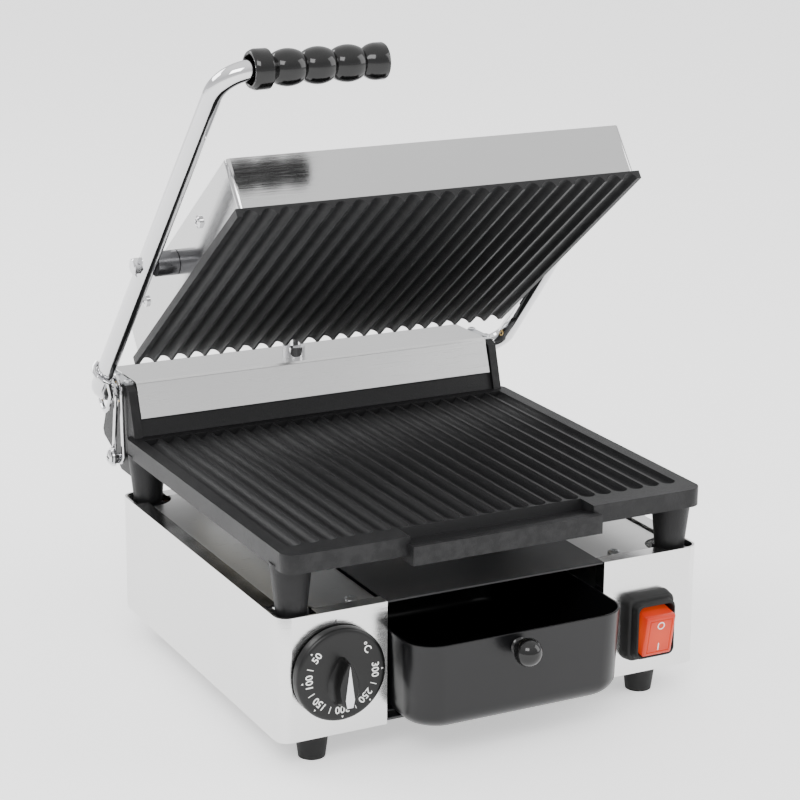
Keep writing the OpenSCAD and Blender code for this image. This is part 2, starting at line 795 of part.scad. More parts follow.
// profile of the grip, from its open collar to its far end
module grip_profile() {
    bulges = grip_l - 28;
    neck = rod_r + 1.3;
    bulge = rod_r + 4.9;
    collar = rod_r + 5.8;
    mouth = rod_r + 2.6;
    bore = rod_r + fit / 2;
    end = grip_l;
    polygon(concat([[0, collar - 1.8], [3, collar], [10.5, collar], [14, neck]],
        [for (i = [1:47]) [14 + bulges * i / 48, bulge_at(i / 16, neck, bulge)]],
        [[end - 14, neck], [end - 9, bulge - 0.8], [end - 6, bulge], [end - 2, bulge],
        [end - 0.5, bulge - 1.5], [end, bulge - 4], [end, 0], [end - bore_end, 0],
        [end - bore_end, bore], [6, bore], [6, mouth], [0, mouth]]));
}

module handle_grip() {
    color([0.05, 0.05, 0.05]) on_arm() translate([grip_start, -arm_l, 0])
        rotate([0, 90, 0]) rotate_extrude() rotate(90) mirror([0, 1]) grip_profile();
}

spacer_len = arm_x - (rod_r - 0.8) - cover_hw - 0.3;
bolt_in = 13;
nut_t = 5;

module pivot_bolt(side) {
    head = arm_x + rod_r - 0.8;
    color("silver") on_arm() translate([0, -pivot_d, 0]) mirror([side < 0 ? 1 : 0, 0, 0]) {
        translate([head, 0, 0]) rotate([0, 90, 0]) {
            hexagon(10, 4);
            translate([0, 0, 4 - eps]) cylinder(r1 = 4.8, r2 = 4.2, h = 0.8);
        }
        along_x([cover_hw - bolt_in, 0, 0], pivot_bolt_r, head - cover_hw + bolt_in + eps);
        // locking nut inside the lid
        translate([cover_hw - bolt_in + 2, 0, 0]) rotate([0, 90, 0]) hexagon(10, nut_t);
    }
}

module pivot_bolt_left() { pivot_bolt(-1); }
module pivot_bolt_right() { pivot_bolt(1); }

module pivot_spacer(side) {
    color("silver") on_arm() mirror([side < 0 ? 1 : 0, 0, 0])
        translate([arm_x - rod_r + 0.8 - spacer_len, -pivot_d, 0]) rotate([0, 90, 0]) difference() {
            cylinder(r = 8, h = spacer_len);
            translate([0, 0, -1]) cylinder(r = pivot_bolt_r + run, h = spacer_len + 2);
        }
}

module pivot_spacer_left() { pivot_spacer(-1); }
module pivot_spacer_right() { pivot_spacer(1); }

// ---------- counter-balance spring ----------

wire_r = 1.6;
coil_r = rod_r + 4 + wire_r;
spring_y = hinge_y - 9;
spring_z = hinge_z - 43;
leg_in_x = -(ear_out + wire_r + 0.6);
leg_out_x = leg_in_x - 2 * wire_r - 0.7;
hook_r = 2.5 + wire_r + 0.2;
washer_r = 6.5;

// a point of the spring: x, and angle and distance in the plane across the hinge axis
function around(x, a, r) = [x, hinge_y + r * cos(a), hinge_z + r * sin(a)];
// a point of the spring's hook: x, distance along the arm, distance below the arm
function beside_arm(x, along, below) = [x, hinge_y - along * cos(arm_open) - below * sin(arm_open),
    hinge_z + along * sin(arm_open) - below * cos(arm_open)];

hook_gap = rod_r + wire_r + 0.3;
leave = arm_open - 186;
spring_path = concat(
    // the inner coil, from its free end to its leg
    [for (a = [-40:12:188]) around(leg_in_x, a, coil_r)],
    // round the screw, from the inner leg to the outer leg
    [for (a = [180:20:360]) [leg_in_x + (leg_out_x - leg_in_x) * (a - 180) / 180,
        spring_y + hook_r * cos(a), spring_z + hook_r * sin(a)]],
    // the outer coil, over the top and round behind the bend of the rod
    [for (a = [184:-12:leave]) around(leg_out_x - 4.5 * (184 - a) / 320, a, coil_r)],
    // along the arm and hooked round it
    [beside_arm(leg_out_x - 5.5, 14, coil_r - 1), beside_arm(-arm_x, 26, hook_gap)],
    [for (a = [30:30:150]) beside_arm(-arm_x - hook_gap * sin(a), 27 + a / 60, hook_gap * cos(a))]);

module torsion_spring() {
    color("silver") wire(spring_path, wire_r, 10, 0, len(spring_path) - 1);
}

module spring_screw() {
    head_x = -leg_out_x + wire_r + 0.2;
    color("silver") translate([0, spring_y, spring_z]) rotate([0, -90, 0]) {
        translate([0, 0, head_x]) cylinder(r = washer_r, h = 1.5);
        translate([0, 0, head_x + 1.5]) pan_screw(2.5 - run, head_x + 1.5 - ear_in - 0.5);
    }
}

// ---------- lid ----------

lid_bore_r = pivot_bolt_r + run;
lid_screw_ys = [-53, 64];
lid_screw_z = 2.3;

module lid_cover() {
    l = upper_l - 2;
    mid = (lid_front + lid_back) / 2;
    color("gainsboro") on_lid() difference() {
        translate([0, mid, cover_low]) linear_extrude(cover_h) round_rect(2 * cover_hw, l, 3);
        translate([0, mid, cover_low - 1]) linear_extrude(cover_h + 1 - cover_t)
            round_rect(2 * cover_hw - 2 * cover_t, l - 2 * cover_t, 3 - cover_t);
        along_x([-cover_hw - 5, 0, 0], lid_bore_r + 1.2, 2 * cover_hw + 10);
        for (y = lid_screw_ys) along_x([-cover_hw - 5, y, lid_screw_z], 2.1, 2 * cover_hw + 10);
        along_y([conduit_x, lid_back - 6, lid_gland_c], gland_r - 1 + fit, 10);
    }
}

module lid_bracket(side) {
    in = cover_hw - cover_t - fit;
    color("silver") on_lid() mirror([side < 0 ? 1 : 0, 0, 0]) difference() {
        union() {
            block([in - 3, -66, upper_top], [in, 76, cover_top - cover_t - 2]);
            block([in - 20, -30, upper_top], [in, 30, upper_top + 3]);
        }
        along_x([in - 5, 0, 0], lid_bore_r, 10);
        // room for the lock nut of the pivot bolt
        along_x([in - 30, 0, 0], 8, 27);
        for (y = lid_screw_ys) along_x([in - 5, y, lid_screw_z], 2.05, 10);
        for (y = [-1, 1]) along_z([in - 12, y * 22, upper_top - 1], 2.2, 6);
    }
}

module lid_bracket_left() { lid_bracket(-1); }
module lid_bracket_right() { lid_bracket(1); }

module bracket_screws() {
    color("silver") on_lid() for (x = [-1, 1]) for (y = [-1, 1])
        translate([x * (cover_hw - cover_t - fit - 12), y * 22, upper_top + 3]) pan_screw(2 - run, 8);
}

module upper_plate() {
    r = groove_r;
    color([0.16, 0.16, 0.17]) on_lid() difference() {
        union() {
            block([-upper_w / 2, lid_front, upper_low], [upper_w / 2, lid_back, upper_top]);
            element_screw_places() translate([0, 0, upper_top - 1])
                cylinder(r = boss_r, h = upper_insulation_z + insulation_t - upper_top + 1);
        }
        element_screw_places() translate([0, 0, upper_top - 2]) cylinder(r = 2, h = 30);
        for (i = [0:upper_groove_count - 1])
            along_y([(i - (upper_groove_count - 1) / 2) * groove_pitch, lid_front - 1,
                upper_low - r + groove_depth], r, upper_l + 2);
        // rebate that the cover slips over
        difference() {
            block([-upper_w, lid_front - 5, cover_low - fit], [upper_w, lid_back + 5, upper_top + 0.5]);
            translate([0, -lid_shift, cover_low - 1]) linear_extrude(upper_top + 3 - cover_low)
                round_rect(2 * (cover_hw - cover_t - fit), upper_l - 2 * (1 + cover_t + fit), 3 - cover_t);
        }
        for (x = [-1, 1]) for (y = [-1, 1])
            along_z([x * (cover_hw - cover_t - fit - 12), y * 22, upper_top - 6], 2, 8);
    }
}

upper_element_z = upper_top + element_r + run;
upper_insulation_z = upper_element_z + element_r + run;

module element_upper() {
    color("dimgray") on_lid() translate([0, 0, upper_element_z])
        hairpin(element_reach, lid_front + 24, lid_back - 28, element_r);
}

module insulation_upper() {
    z = upper_insulation_z;
    color("beige") on_lid() difference() {
        block([-element_reach - 10, lid_front + 14, z],
            [element_reach + 10, lid_back - 18, z + insulation_t]);
        element_screw_places() translate([0, 0, z - 1]) cylinder(r = boss_r + fit, h = insulation_t + 2);
    }
}

module element_clamp_upper() {
    z = upper_insulation_z + insulation_t;
    color("silver") on_lid() difference() {
        block([-element_reach - 8, lid_front + 18, z], [element_reach + 8, lid_back - 22, z + clamp_t]);
        element_screw_places() translate([0, 0, z - 1]) cylinder(r = 2.2, h = clamp_t + 2);
    }
}

module element_screws_upper() {
    color("silver") on_lid() element_screw_places()
        translate([0, 0, upper_insulation_z + insulation_t + clamp_t])
            pan_screw(2 - run, clamp_t + insulation_t + 3);
}

module lid_screws() {
    color("silver") on_lid() for (x = [-1, 1]) for (y = lid_screw_ys)
        translate([x * cover_hw, y, lid_screw_z]) rotate([0, x * 90, 0]) pan_screw(2, 6);
}

// ---------- controls ----------

module thermostat_body() {
    color("tan") difference() {
        translate([-knob_x, front_y + sheet, knob_z]) rotate([-90, 0, 0]) {
            cylinder(r = 6, h = 3);
            translate([0, 0, 3 - eps]) cylinder(r = 15, h = 20);
        }
        along_y([-knob_x, front_y, knob_z], 3 + run, 12);
    }
}

module thermostat_shaft() {
    color("silver") along_y([-knob_x, front_y - 11, knob_z], 3, 11 + 10);
}

module thermostat_knob() {
    color([0.08, 0.08, 0.08]) translate([-knob_x, front_y - 1.5, knob_z]) rotate([90, 0, 0]) difference() {
        union() {
            rotate_extrude() polygon([[0, 0], [knob_r, 0], [knob_r, 5.5], [knob_r - 1, 7],
                [knob_r - 2, 7.4], [0, 8.6]]);
            // raised wedge to turn the knob by
            translate([0, 0, 7]) linear_extrude(11) polygon([[0, 21], [-5, 8], [-7, -4], [-7.5, -19],
                [-5, -23], [5, -23], [7.5, -19], [7, -4], [5, 8]]);
        }
        translate([0, 0, -1]) cylinder(r = 3 + run, h = 11);
        translate([0, 0, 17]) linear_extrude(3) pointer_outline(0);
    }
}

// a tear drop, smaller all round by gap
module pointer_outline(gap) {
    polygon([[0, 10 - 4 * gap], [-3 + gap, -12], [-2 + gap, -17 + gap],
        [2 - gap, -17 + gap], [3 - gap, -12]]);
}

module knob_pointer() {
    color("silver") translate([-knob_x, front_y - 1.5 - 17, knob_z]) rotate([90, 0, 0])
        linear_extrude(1.2) pointer_outline(run);
}

// probe under the lower plate, and its thin tube down to the thermostat
module thermostat_bulb() {
    tube = [[0, 8, element_z], [0, 0, element_z], [0, -1.5, element_z - 8], [0, 4, deck_z + 8],
        [0, 45, deck_z - 4], [-14, 52, deck_z - 30], [-86, 48, knob_z + 6], [-106, 10, knob_z],
        [-knob_x, -60, knob_z],
        [-knob_x, front_y + 24, knob_z]];
    color("peru") {
        along_y([0, 6, element_z], probe_r, 60);
        wire(spline(tube, 6), 1, 8, 0, 6 * (len(tube) - 1) - 1);
    }
}

// how far the body and the two steps of the boot stand out of the panel
body_out = 7.8;
boot_step = 8;
boot_out = 14;
rocker_y = front_y - 4.5;
rocker_rest = 10;
rocker_hw = 11;

module switch_body() {
    w = 14.3;
    h = 16.8;
    color([0.15, 0.15, 0.15]) difference() {
        union() {
            block([switch_x - w, front_y - body_out, switch_z - h],
                [switch_x + w, front_y + 24, switch_z + h]);
            block([switch_x - w - 2, front_y - 2, switch_z - h - 2],
                [switch_x + w + 2, front_y, switch_z + h + 2]);
        }
        block([switch_x - w + 1.4, front_y - 10, switch_z - h + 1],
            [switch_x + w - 1.4, front_y + 12, switch_z + h - 1]);
        along_x([switch_x - w + 0.4, rocker_y, switch_z], 1.25, 2 * w - 0.8);
    }
}

// a soft surround in two steps, with the rocker in its mouth
module switch_boot() {
    w = boot_w / 2;
    h = boot_h / 2;
    color([0.05, 0.05, 0.05]) difference() {
        union() {
            hull() {
                block([switch_x - w, front_y - 2, switch_z - h], [switch_x + w, front_y, switch_z + h]);
                block([switch_x - w + 1.6, front_y - boot_step, switch_z - h + 1.8],
                    [switch_x + w - 1.6, front_y - boot_step + 1, switch_z + h - 1.8]);
            }
            block([switch_x - w + 3, front_y - boot_out, switch_z - h + 2.8],
                [switch_x + w - 3, front_y - boot_step + 1, switch_z + h - 2.8]);
        }
        block([switch_x - 16.5, front_y - 2.2, switch_z - 19],
            [switch_x + 16.5, front_y + 1, switch_z + 19]);
        block([switch_x - 14.5, front_y - boot_step, switch_z - 17],
            [switch_x + 14.5, front_y, switch_z + 17]);
        block([switch_x - 12.2, front_y - boot_out - 1, switch_z - 17.3],
            [switch_x + 12.2, front_y, switch_z + 17.3]);
    }
}

module rocker() {
    color([0.8, 0.1, 0.08]) {
        translate([switch_x - rocker_hw, rocker_y, switch_z]) rotate([90, 0, 90])
            linear_extrude(2 * rocker_hw) rotate(rocker_rest)
                polygon([[-14, 14.5], [-13, 0], [-14, -14.5], [2, -13], [4, 0], [2, 13]]);
        along_x([switch_x - 13.7, rocker_y, switch_z], 1.2, 27.4);
    }
}

// ---------- feet, glands and fixings ----------

module feet() {
    color([0.1, 0.1, 0.1]) foot_places() difference() {
        union() {
            cylinder(r1 = foot_r - 2.5, r2 = foot_r, h = foot_h);
            cylinder(r = foot_r - 3, h = foot_h + sheet);
        }
        translate([0, 0, -1]) cylinder(r = 4.8, h = 7);
        cylinder(r = 2.5, h = foot_h + sheet + 1);
    }
}

module foot_screws() {
    color("silver") foot_places() translate([0, 0, 6]) rotate([180, 0, 0]) pan_screw(2.2, foot_h + sheet);
}

module cable_gland() {
    y = back_y - sheet - fit;
    color([0.1, 0.1, 0.1]) translate([inlet_x, y, inlet_z]) rotate([-90, 0, 0]) difference() {
        union() {
            cylinder(r = gland_r + 3, h = 6);
            translate([0, 0, -sheet - 8]) cylinder(r = gland_r, h = sheet + 8 + eps);
            translate([0, 0, 6 - eps]) cylinder(r1 = gland_r + 2, r2 = gland_r, h = 12);
        }
        translate([0, 0, -sheet - 9]) cylinder(r = 4.6, h = 40);
    }
}

module terminal_block() {
    color("ivory") difference() {
        block([inlet_x - 22, back_y - 60, floor_z + 2 * sheet], [inlet_x + 14, back_y - 40, floor_z + 24]);
        for (i = [-1:1]) along_z([inlet_x - 4 + i * 11, back_y - 50, floor_z + 14], 3, 12);
    }
}

module panel_screws() {
    color("silver") panel_screw_places() pan_screw(2, 5);
}

module deck_screws() {
    color("silver") for (x = [-1, 1])
        translate([x * (deck_hole_hw + 15), deck_screw_y, deck_low + sheet]) pan_screw(2 - run, 5);
}

left_panel();
right_panel();
rear_panel();
bottom_plate();
inner_frame();
top_deck();
drip_shield();
drawer_rail_left();
drawer_rail_right();
grease_drawer();
drawer_ball_knob();
drawer_knob_screw();
lower_plate();
leg_bolts();
element_lower();
insulation_lower();
element_clamp_lower();
element_screws_lower();
rear_cover();
conduit_gland_rear();
conduit_lower();
conduit_upper();
conduit_gland_lid();
hinge_bush_left();
hinge_bush_right();
hinge_keepers();
keeper_screws();
arm_rod();
handle_grip();
pivot_bolt_left();
pivot_bolt_right();
pivot_spacer_left();
pivot_spacer_right();
torsion_spring();
spring_screw();
lid_cover();
lid_bracket_left();
lid_bracket_right();
upper_plate();
element_upper();
insulation_upper();
element_clamp_upper();
element_screws_upper();
bracket_screws();
lid_screws();
thermostat_body();
thermostat_shaft();
thermostat_knob();
knob_pointer();
thermostat_bulb();
switch_body();
switch_boot();
rocker();
feet();
foot_screws();
cable_gland();
terminal_block();
panel_screws();
deck_screws();
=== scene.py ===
# %% [markdown]
# # A panini press, from its frame to its finish
# The grill is already built as an assembly: cast plates, a sheet steel housing, a lid
# that hangs on a bent chrome rod, and a grease drawer. This notebook dresses that
# assembly. Its nodes keep their shape and get real finishes, and where the real part
# has rolled edges, print or corrugation, a finer piece is modelled and takes the
# node's place. The first cell loads the assembly.

# %% Load the frame
import json
from math import cos, pi, radians, sin

import bpy
from mathutils import Matrix, Vector


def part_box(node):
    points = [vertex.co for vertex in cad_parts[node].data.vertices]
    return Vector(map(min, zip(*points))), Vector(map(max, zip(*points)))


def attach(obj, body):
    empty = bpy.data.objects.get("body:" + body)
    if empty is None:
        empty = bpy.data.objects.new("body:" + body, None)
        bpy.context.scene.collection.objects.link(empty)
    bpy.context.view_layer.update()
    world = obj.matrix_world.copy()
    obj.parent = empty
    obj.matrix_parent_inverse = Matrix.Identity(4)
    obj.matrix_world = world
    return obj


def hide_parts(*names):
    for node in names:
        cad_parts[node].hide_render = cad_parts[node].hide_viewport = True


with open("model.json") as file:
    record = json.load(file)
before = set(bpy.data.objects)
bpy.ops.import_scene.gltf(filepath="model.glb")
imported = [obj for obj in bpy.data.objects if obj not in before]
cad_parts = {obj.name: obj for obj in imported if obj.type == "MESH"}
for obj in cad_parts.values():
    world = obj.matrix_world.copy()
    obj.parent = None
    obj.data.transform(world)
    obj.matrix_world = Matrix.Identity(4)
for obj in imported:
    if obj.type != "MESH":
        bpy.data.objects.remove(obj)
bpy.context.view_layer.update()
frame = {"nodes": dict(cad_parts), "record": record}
nodes = frame["nodes"]

# %% [markdown]
# ## The camera
# It stands in front and to the left, a little above the lid, about one and a half
# metres away, with a long lens so that the edges hardly converge.

# %% Camera
CAMERA_PLACE = Vector((-0.685, -1.3244, 0.6218))
CAMERA_TURN = 27.277
CAMERA_DOWN = 16.44
CAMERA_ROLL = 0.396
LENS = 107.33

cam_data = bpy.data.cameras.new("camera")
cam_data.lens = LENS
cam_data.sensor_width = 36
cam_data.clip_start = 0.05
camera = bpy.data.objects.new("camera", cam_data)
bpy.context.scene.collection.objects.link(camera)
camera.location = CAMERA_PLACE
look = Matrix.Rotation(radians(-CAMERA_TURN), 4, "Z") @ Matrix.Rotation(radians(90 - CAMERA_DOWN), 4, "X")
camera.rotation_euler = (look @ Matrix.Rotation(radians(CAMERA_ROLL), 4, "Z")).to_euler()
bpy.context.scene.camera = camera
print("camera at", tuple(round(v, 3) for v in camera.location))

# %% [markdown]
# ## Floor and light
# Polished steel shows its surroundings, so the room matters more than the lamps. The
# floor is plain, pale and faintly lit, the air is a soft grey that is darkest a little above the
# horizon, and three large lamps make the broad highlights that a studio puts on chrome.

# %% Floor, room and lamps
bpy.ops.object.select_all(action="DESELECT")
bpy.ops.mesh.primitive_plane_add(size=12, location=(0, 0, 0))
floor = bpy.context.object
floor.name = "floor"
floor_paint = bpy.data.materials.new("pale_floor")
floor_paint.use_nodes = True
floor_shader = floor_paint.node_tree.nodes["Principled BSDF"]
floor_shader.inputs["Base Color"].default_value = (0.9, 0.9, 0.9, 1)
floor_shader.inputs["Roughness"].default_value = 0.6
floor_shader.inputs["Specular IOR Level"].default_value = 0.2
floor_shader.inputs["Emission Color"].default_value = (1, 1, 1, 1)
floor_shader.inputs["Emission Strength"].default_value = 0.7
floor.data.materials.append(floor_paint)

room = bpy.data.worlds.new("studio")
bpy.context.scene.world = room
room.use_nodes = True
room_nodes, room_links = room.node_tree.nodes, room.node_tree.links
background = room_nodes["Background"]
way = room_nodes.new("ShaderNodeTexCoord")
split = room_nodes.new("ShaderNodeSeparateXYZ")
shade = room_nodes.new("ShaderNodeValToRGB")
room_links.new(way.outputs["Generated"], split.inputs["Vector"])
room_links.new(split.outputs["Z"], shade.inputs["Fac"])
room_links.new(shade.outputs["Color"], background.inputs["Color"])
shade.color_ramp.elements[0].position = 0.0
shade.color_ramp.elements[0].color = (0.75, 0.75, 0.76, 1)
shade.color_ramp.elements[1].position = 0.9
shade.color_ramp.elements[1].color = (1, 1, 1, 1)
halfway = shade.color_ramp.elements.new(0.25)
halfway.color = (0.62, 0.62, 0.63, 1)
background.inputs["Strength"].default_value = 1.75


def lamp(name, place, aim, width, height, power):
    data = bpy.data.lights.new(name, "AREA")
    data.shape = "RECTANGLE"
    data.size, data.size_y, data.energy = width, height, power
    obj = bpy.data.objects.new(name, data)
    bpy.context.scene.collection.objects.link(obj)
    obj.location = place
    obj.rotation_euler = (Vector(aim) - Vector(place)).to_track_quat("-Z", "Y").to_euler()
    return obj


lamp("key", (-1.3, -1.6, 1.9), (0, 0, 0.1), 1.4, 1.0, 42)
lamp("fill", (1.9, -1.0, 1.1), (0, 0, 0.2), 1.2, 1.6, 22)
lamp("rim", (-1.2, 1.5, 1.5), (0, 0, 0.2), 1.6, 0.8, 26)
print("floor and three lamps")

# %% [markdown]
# ## Shared effects
# Four effects come back in many of the finishes: fine brushed lines in steel, the
# grain of a casting or a moulding, faint smears from wiping, and a painted highlight
# that makes sharp edges a little brighter. Each one is a node group that gives a mask or a height.
# The colours and the shader stay in each material, so that every finish can set its
# own values.

# %% Effect groups
def new_group(name, inputs, outputs):
    group = bpy.data.node_groups.new(name, "ShaderNodeTree")
    for label, value in inputs.items():
        kind = "NodeSocketVector" if isinstance(value, tuple) else "NodeSocketFloat"
        socket = group.interface.new_socket(label, in_out="INPUT", socket_type=kind)
        socket.default_value = value
    for label in outputs:
        group.interface.new_socket(label, in_out="OUTPUT", socket_type="NodeSocketFloat")
    return group, group.nodes.new("NodeGroupInput"), group.nodes.new("NodeGroupOutput")


def noise(tree, scale, detail, vector, roughness=0.5):
    node = tree.nodes.new("ShaderNodeTexNoise")
    node.inputs["Scale"].default_value = scale
    node.inputs["Detail"].default_value = detail
    node.inputs["Roughness"].default_value = roughness
    tree.links.new(vector, node.inputs["Vector"])
    return node.outputs["Fac"]


def remap(tree, value, low, high, to_low=0.0, to_high=1.0):
    node = tree.nodes.new("ShaderNodeMapRange")
    tree.links.new(value, node.inputs["Value"])
    for label, number in zip(("From Min", "From Max", "To Min", "To Max"), (low, high, to_low, to_high)):
        node.inputs[label].default_value = number
    return node.outputs["Result"]


def maths(tree, kind, a, b):
    node = tree.nodes.new("ShaderNodeMath")
    node.operation = kind
    for socket, value in zip(node.inputs, (a, b)):
        if isinstance(value, (int, float)):
            socket.default_value = value
        else:
            tree.links.new(value, socket)
    return node.outputs["Value"]


# brushed lines: noise that is stretched along one direction
brush, g_in, g_out = new_group("brushed_lines", {"Stretch": (1.0, 1.0, 1.0), "Fineness": 1.0},
                               ["Lines", "Patches"])
coord = brush.nodes.new("ShaderNodeTexCoord")
stretch = brush.nodes.new("ShaderNodeVectorMath")
stretch.operation = "MULTIPLY"
brush.links.new(coord.outputs["Object"], stretch.inputs[0])
brush.links.new(g_in.outputs["Stretch"], stretch.inputs[1])
fine = brush.nodes.new("ShaderNodeVectorMath")
fine.operation = "SCALE"
brush.links.new(stretch.outputs["Vector"], fine.inputs[0])
brush.links.new(g_in.outputs["Fineness"], fine.inputs["Scale"])
lines = noise(brush, 1400, 3, fine.outputs["Vector"], 0.7)
brush.links.new(remap(brush, lines, 0.3, 0.7), g_out.inputs["Lines"])
brush.links.new(noise(brush, 9, 2, coord.outputs["Object"]), g_out.inputs["Patches"])

# grain: small bumps of a casting or a moulding, with broad unevenness under them
grain, g_in, g_out = new_group("cast_grain", {"Fineness": 900.0}, ["Grain", "Patches"])
coord = grain.nodes.new("ShaderNodeTexCoord")
speck = grain.nodes.new("ShaderNodeTexNoise")
speck.inputs["Detail"].default_value = 4
speck.inputs["Roughness"].default_value = 0.6
grain.links.new(coord.outputs["Object"], speck.inputs["Vector"])
grain.links.new(g_in.outputs["Fineness"], speck.inputs["Scale"])
grain.links.new(speck.outputs["Fac"], g_out.inputs["Grain"])
grain.links.new(noise(grain, 22, 3, coord.outputs["Object"]), g_out.inputs["Patches"])

# smears: long faint wipe marks
smear, g_in, g_out = new_group("wipe_marks", {"Amount": 1.0}, ["Marks"])
coord = smear.nodes.new("ShaderNodeTexCoord")
bend = smear.nodes.new("ShaderNodeMapping")
bend.inputs["Rotation"].default_value = (0.3, 0.5, 0.7)
bend.inputs["Scale"].default_value = (1, 5, 2)
smear.links.new(coord.outputs["Object"], bend.inputs["Vector"])
mark = remap(smear, noise(smear, 12, 4, bend.outputs["Vector"]), 0.5, 0.75)
smear.links.new(maths(smear, "MULTIPLY", mark, g_in.outputs["Amount"]), g_out.inputs["Marks"])

# painted highlight: lighter colour where the surface is sharply convex, broken up by noise
highlight_group, g_in, g_out = new_group("painted_edge_highlight", {"Start": 0.52, "End": 0.6}, ["Mask"])
shape = highlight_group.nodes.new("ShaderNodeNewGeometry")
coord = highlight_group.nodes.new("ShaderNodeTexCoord")
edge = highlight_group.nodes.new("ShaderNodeMapRange")
highlight_group.links.new(shape.outputs["Pointiness"], edge.inputs["Value"])
highlight_group.links.new(g_in.outputs["Start"], edge.inputs["From Min"])
highlight_group.links.new(g_in.outputs["End"], edge.inputs["From Max"])
broken = remap(highlight_group, noise(highlight_group, 160, 3, coord.outputs["Object"]), 0.42, 0.62)
highlight_group.links.new(maths(highlight_group, "MULTIPLY", edge.outputs["Result"], broken), g_out.inputs["Mask"])
print("effect groups:", [g.name for g in (brush, grain, smear, highlight_group)])

# %% [markdown]
# ## Finishes
# A finish starts as a Principled shader with plain values, and one small function
# sets them. Another one puts an effect group in the tree, and a third blends two
# values by a mask. Colours are mixed only where the real surface varies.

# %% Small tools for finishes
def finish_for(name, color, metallic, rough, **extra):
    paint = bpy.data.materials.new(name)
    paint.use_nodes = True
    shader = paint.node_tree.nodes["Principled BSDF"]
    shader.inputs["Base Color"].default_value = (*color, 1)
    shader.inputs["Metallic"].default_value = metallic
    shader.inputs["Roughness"].default_value = rough
    for label, value in extra.items():
        shader.inputs[label.replace("_", " ")].default_value = value
    paint.diffuse_color = (*color, 1)
    return paint


def effect(paint, group, **values):
    node = paint.node_tree.nodes.new("ShaderNodeGroup")
    node.node_tree = group
    for label, value in values.items():
        node.inputs[label].default_value = value
    return node.outputs


def vary(paint, label, mask, low, high):
    tree = paint.node_tree
    shader = tree.nodes["Principled BSDF"]
    tree.links.new(remap(tree, mask, 0, 1, low, high), shader.inputs[label])


def tint(paint, mask, color_a, color_b):
    tree = paint.node_tree
    mix = tree.nodes.new("ShaderNodeMix")
    mix.data_type = "RGBA"
    tree.links.new(mask, mix.inputs["Factor"])
    mix.inputs[6].default_value = (*color_a, 1)
    mix.inputs[7].default_value = (*color_b, 1)
    tree.links.new(mix.outputs[2], tree.nodes["Principled BSDF"].inputs["Base Color"])
    return mix.outputs[2]


def bumpy(paint, height, depth, strength=1.0):
    tree = paint.node_tree
    bump = tree.nodes.new("ShaderNodeBump")
    bump.inputs["Strength"].default_value = strength
    bump.inputs["Distance"].default_value = depth
    tree.links.new(height, bump.inputs["Height"])
    tree.links.new(bump.outputs["Normal"], tree.nodes["Principled BSDF"].inputs["Normal"])


print("finish tools ready")

# %% [markdown]
# ## Steels
# The housing is fine brushed stainless steel: the lines run along each panel, so the
# stretch differs from one panel to the next. The lid is polished almost to a mirror,
# and the rod is chrome. All three are full metals. What tells them apart is their
# roughness and how the lines break it up.

# %% Steels
def brushed_steel(name, color, stretch, rough, depth):
    paint = finish_for(name, color, 1.0, rough)
    lined = effect(paint, brush, Stretch=stretch)
    wiped = effect(paint, smear, Amount=0.6)
    tree = paint.node_tree
    mask = maths(tree, "ADD", maths(tree, "MULTIPLY", lined["Lines"], 0.7),
                 maths(tree, "MULTIPLY", wiped["Marks"], 0.3))
    vary(paint, "Roughness", mask, rough - 0.07, rough + 0.09)
    tint(paint, lined["Patches"], tuple(c * 0.94 for c in color), tuple(min(c * 1.05, 1) for c in color))
    bumpy(paint, lined["Lines"], depth, 0.6)
    return paint


STEEL = (0.74, 0.74, 0.735)
ALONG_X, ALONG_Y, ALONG_Z = (0.02, 1, 1), (1, 0.02, 1), (1, 1, 0.02)
front_steel = brushed_steel("panel_steel", STEEL, (0.02, 0.02, 1), 0.2, 0.00002)
side_steel = brushed_steel("panel_steel_sides", STEEL, (0.02, 0.02, 1), 0.2, 0.00002)
deck_steel = brushed_steel("deck_steel", (0.66, 0.66, 0.65), ALONG_X, 0.34, 0.00003)
cover_steel = brushed_steel("rear_cover_steel", (0.64, 0.64, 0.635), ALONG_X, 0.32, 0.00002)
lid_steel = brushed_steel("polished_lid_steel", (0.5, 0.5, 0.5), ALONG_X, 0.14, 0.00001)
zinc = brushed_steel("zinc_plated_steel", (0.55, 0.56, 0.57), (1, 1, 1), 0.36, 0.00002)

dark_steel = brushed_steel("burnished_steel", (0.12, 0.12, 0.125), (1, 1, 1), 0.3, 0.00002)
chrome = finish_for("chrome_plate", (0.62, 0.62, 0.63), 1.0, 0.05)
vary(chrome, "Roughness", effect(chrome, smear, Amount=1.0)["Marks"], 0.04, 0.14)
brass = finish_for("bearing_brass", (0.68, 0.48, 0.2), 1.0, 0.3)
vary(brass, "Roughness", effect(brass, grain, Fineness=500.0)["Grain"], 0.22, 0.4)
copper = finish_for("copper_tube", (0.72, 0.36, 0.22), 1.0, 0.28)
vary(copper, "Roughness", effect(copper, grain, Fineness=500.0)["Patches"], 0.2, 0.45)
sheath = finish_for("element_sheath", (0.16, 0.155, 0.15), 0.9, 0.5)
sheath_grain = effect(sheath, grain, Fineness=1400.0)
tint(sheath, sheath_grain["Patches"], (0.1, 0.095, 0.09), (0.24, 0.22, 0.2))
bumpy(sheath, sheath_grain["Grain"], 0.0001)
print("steels, chrome, brass and copper")
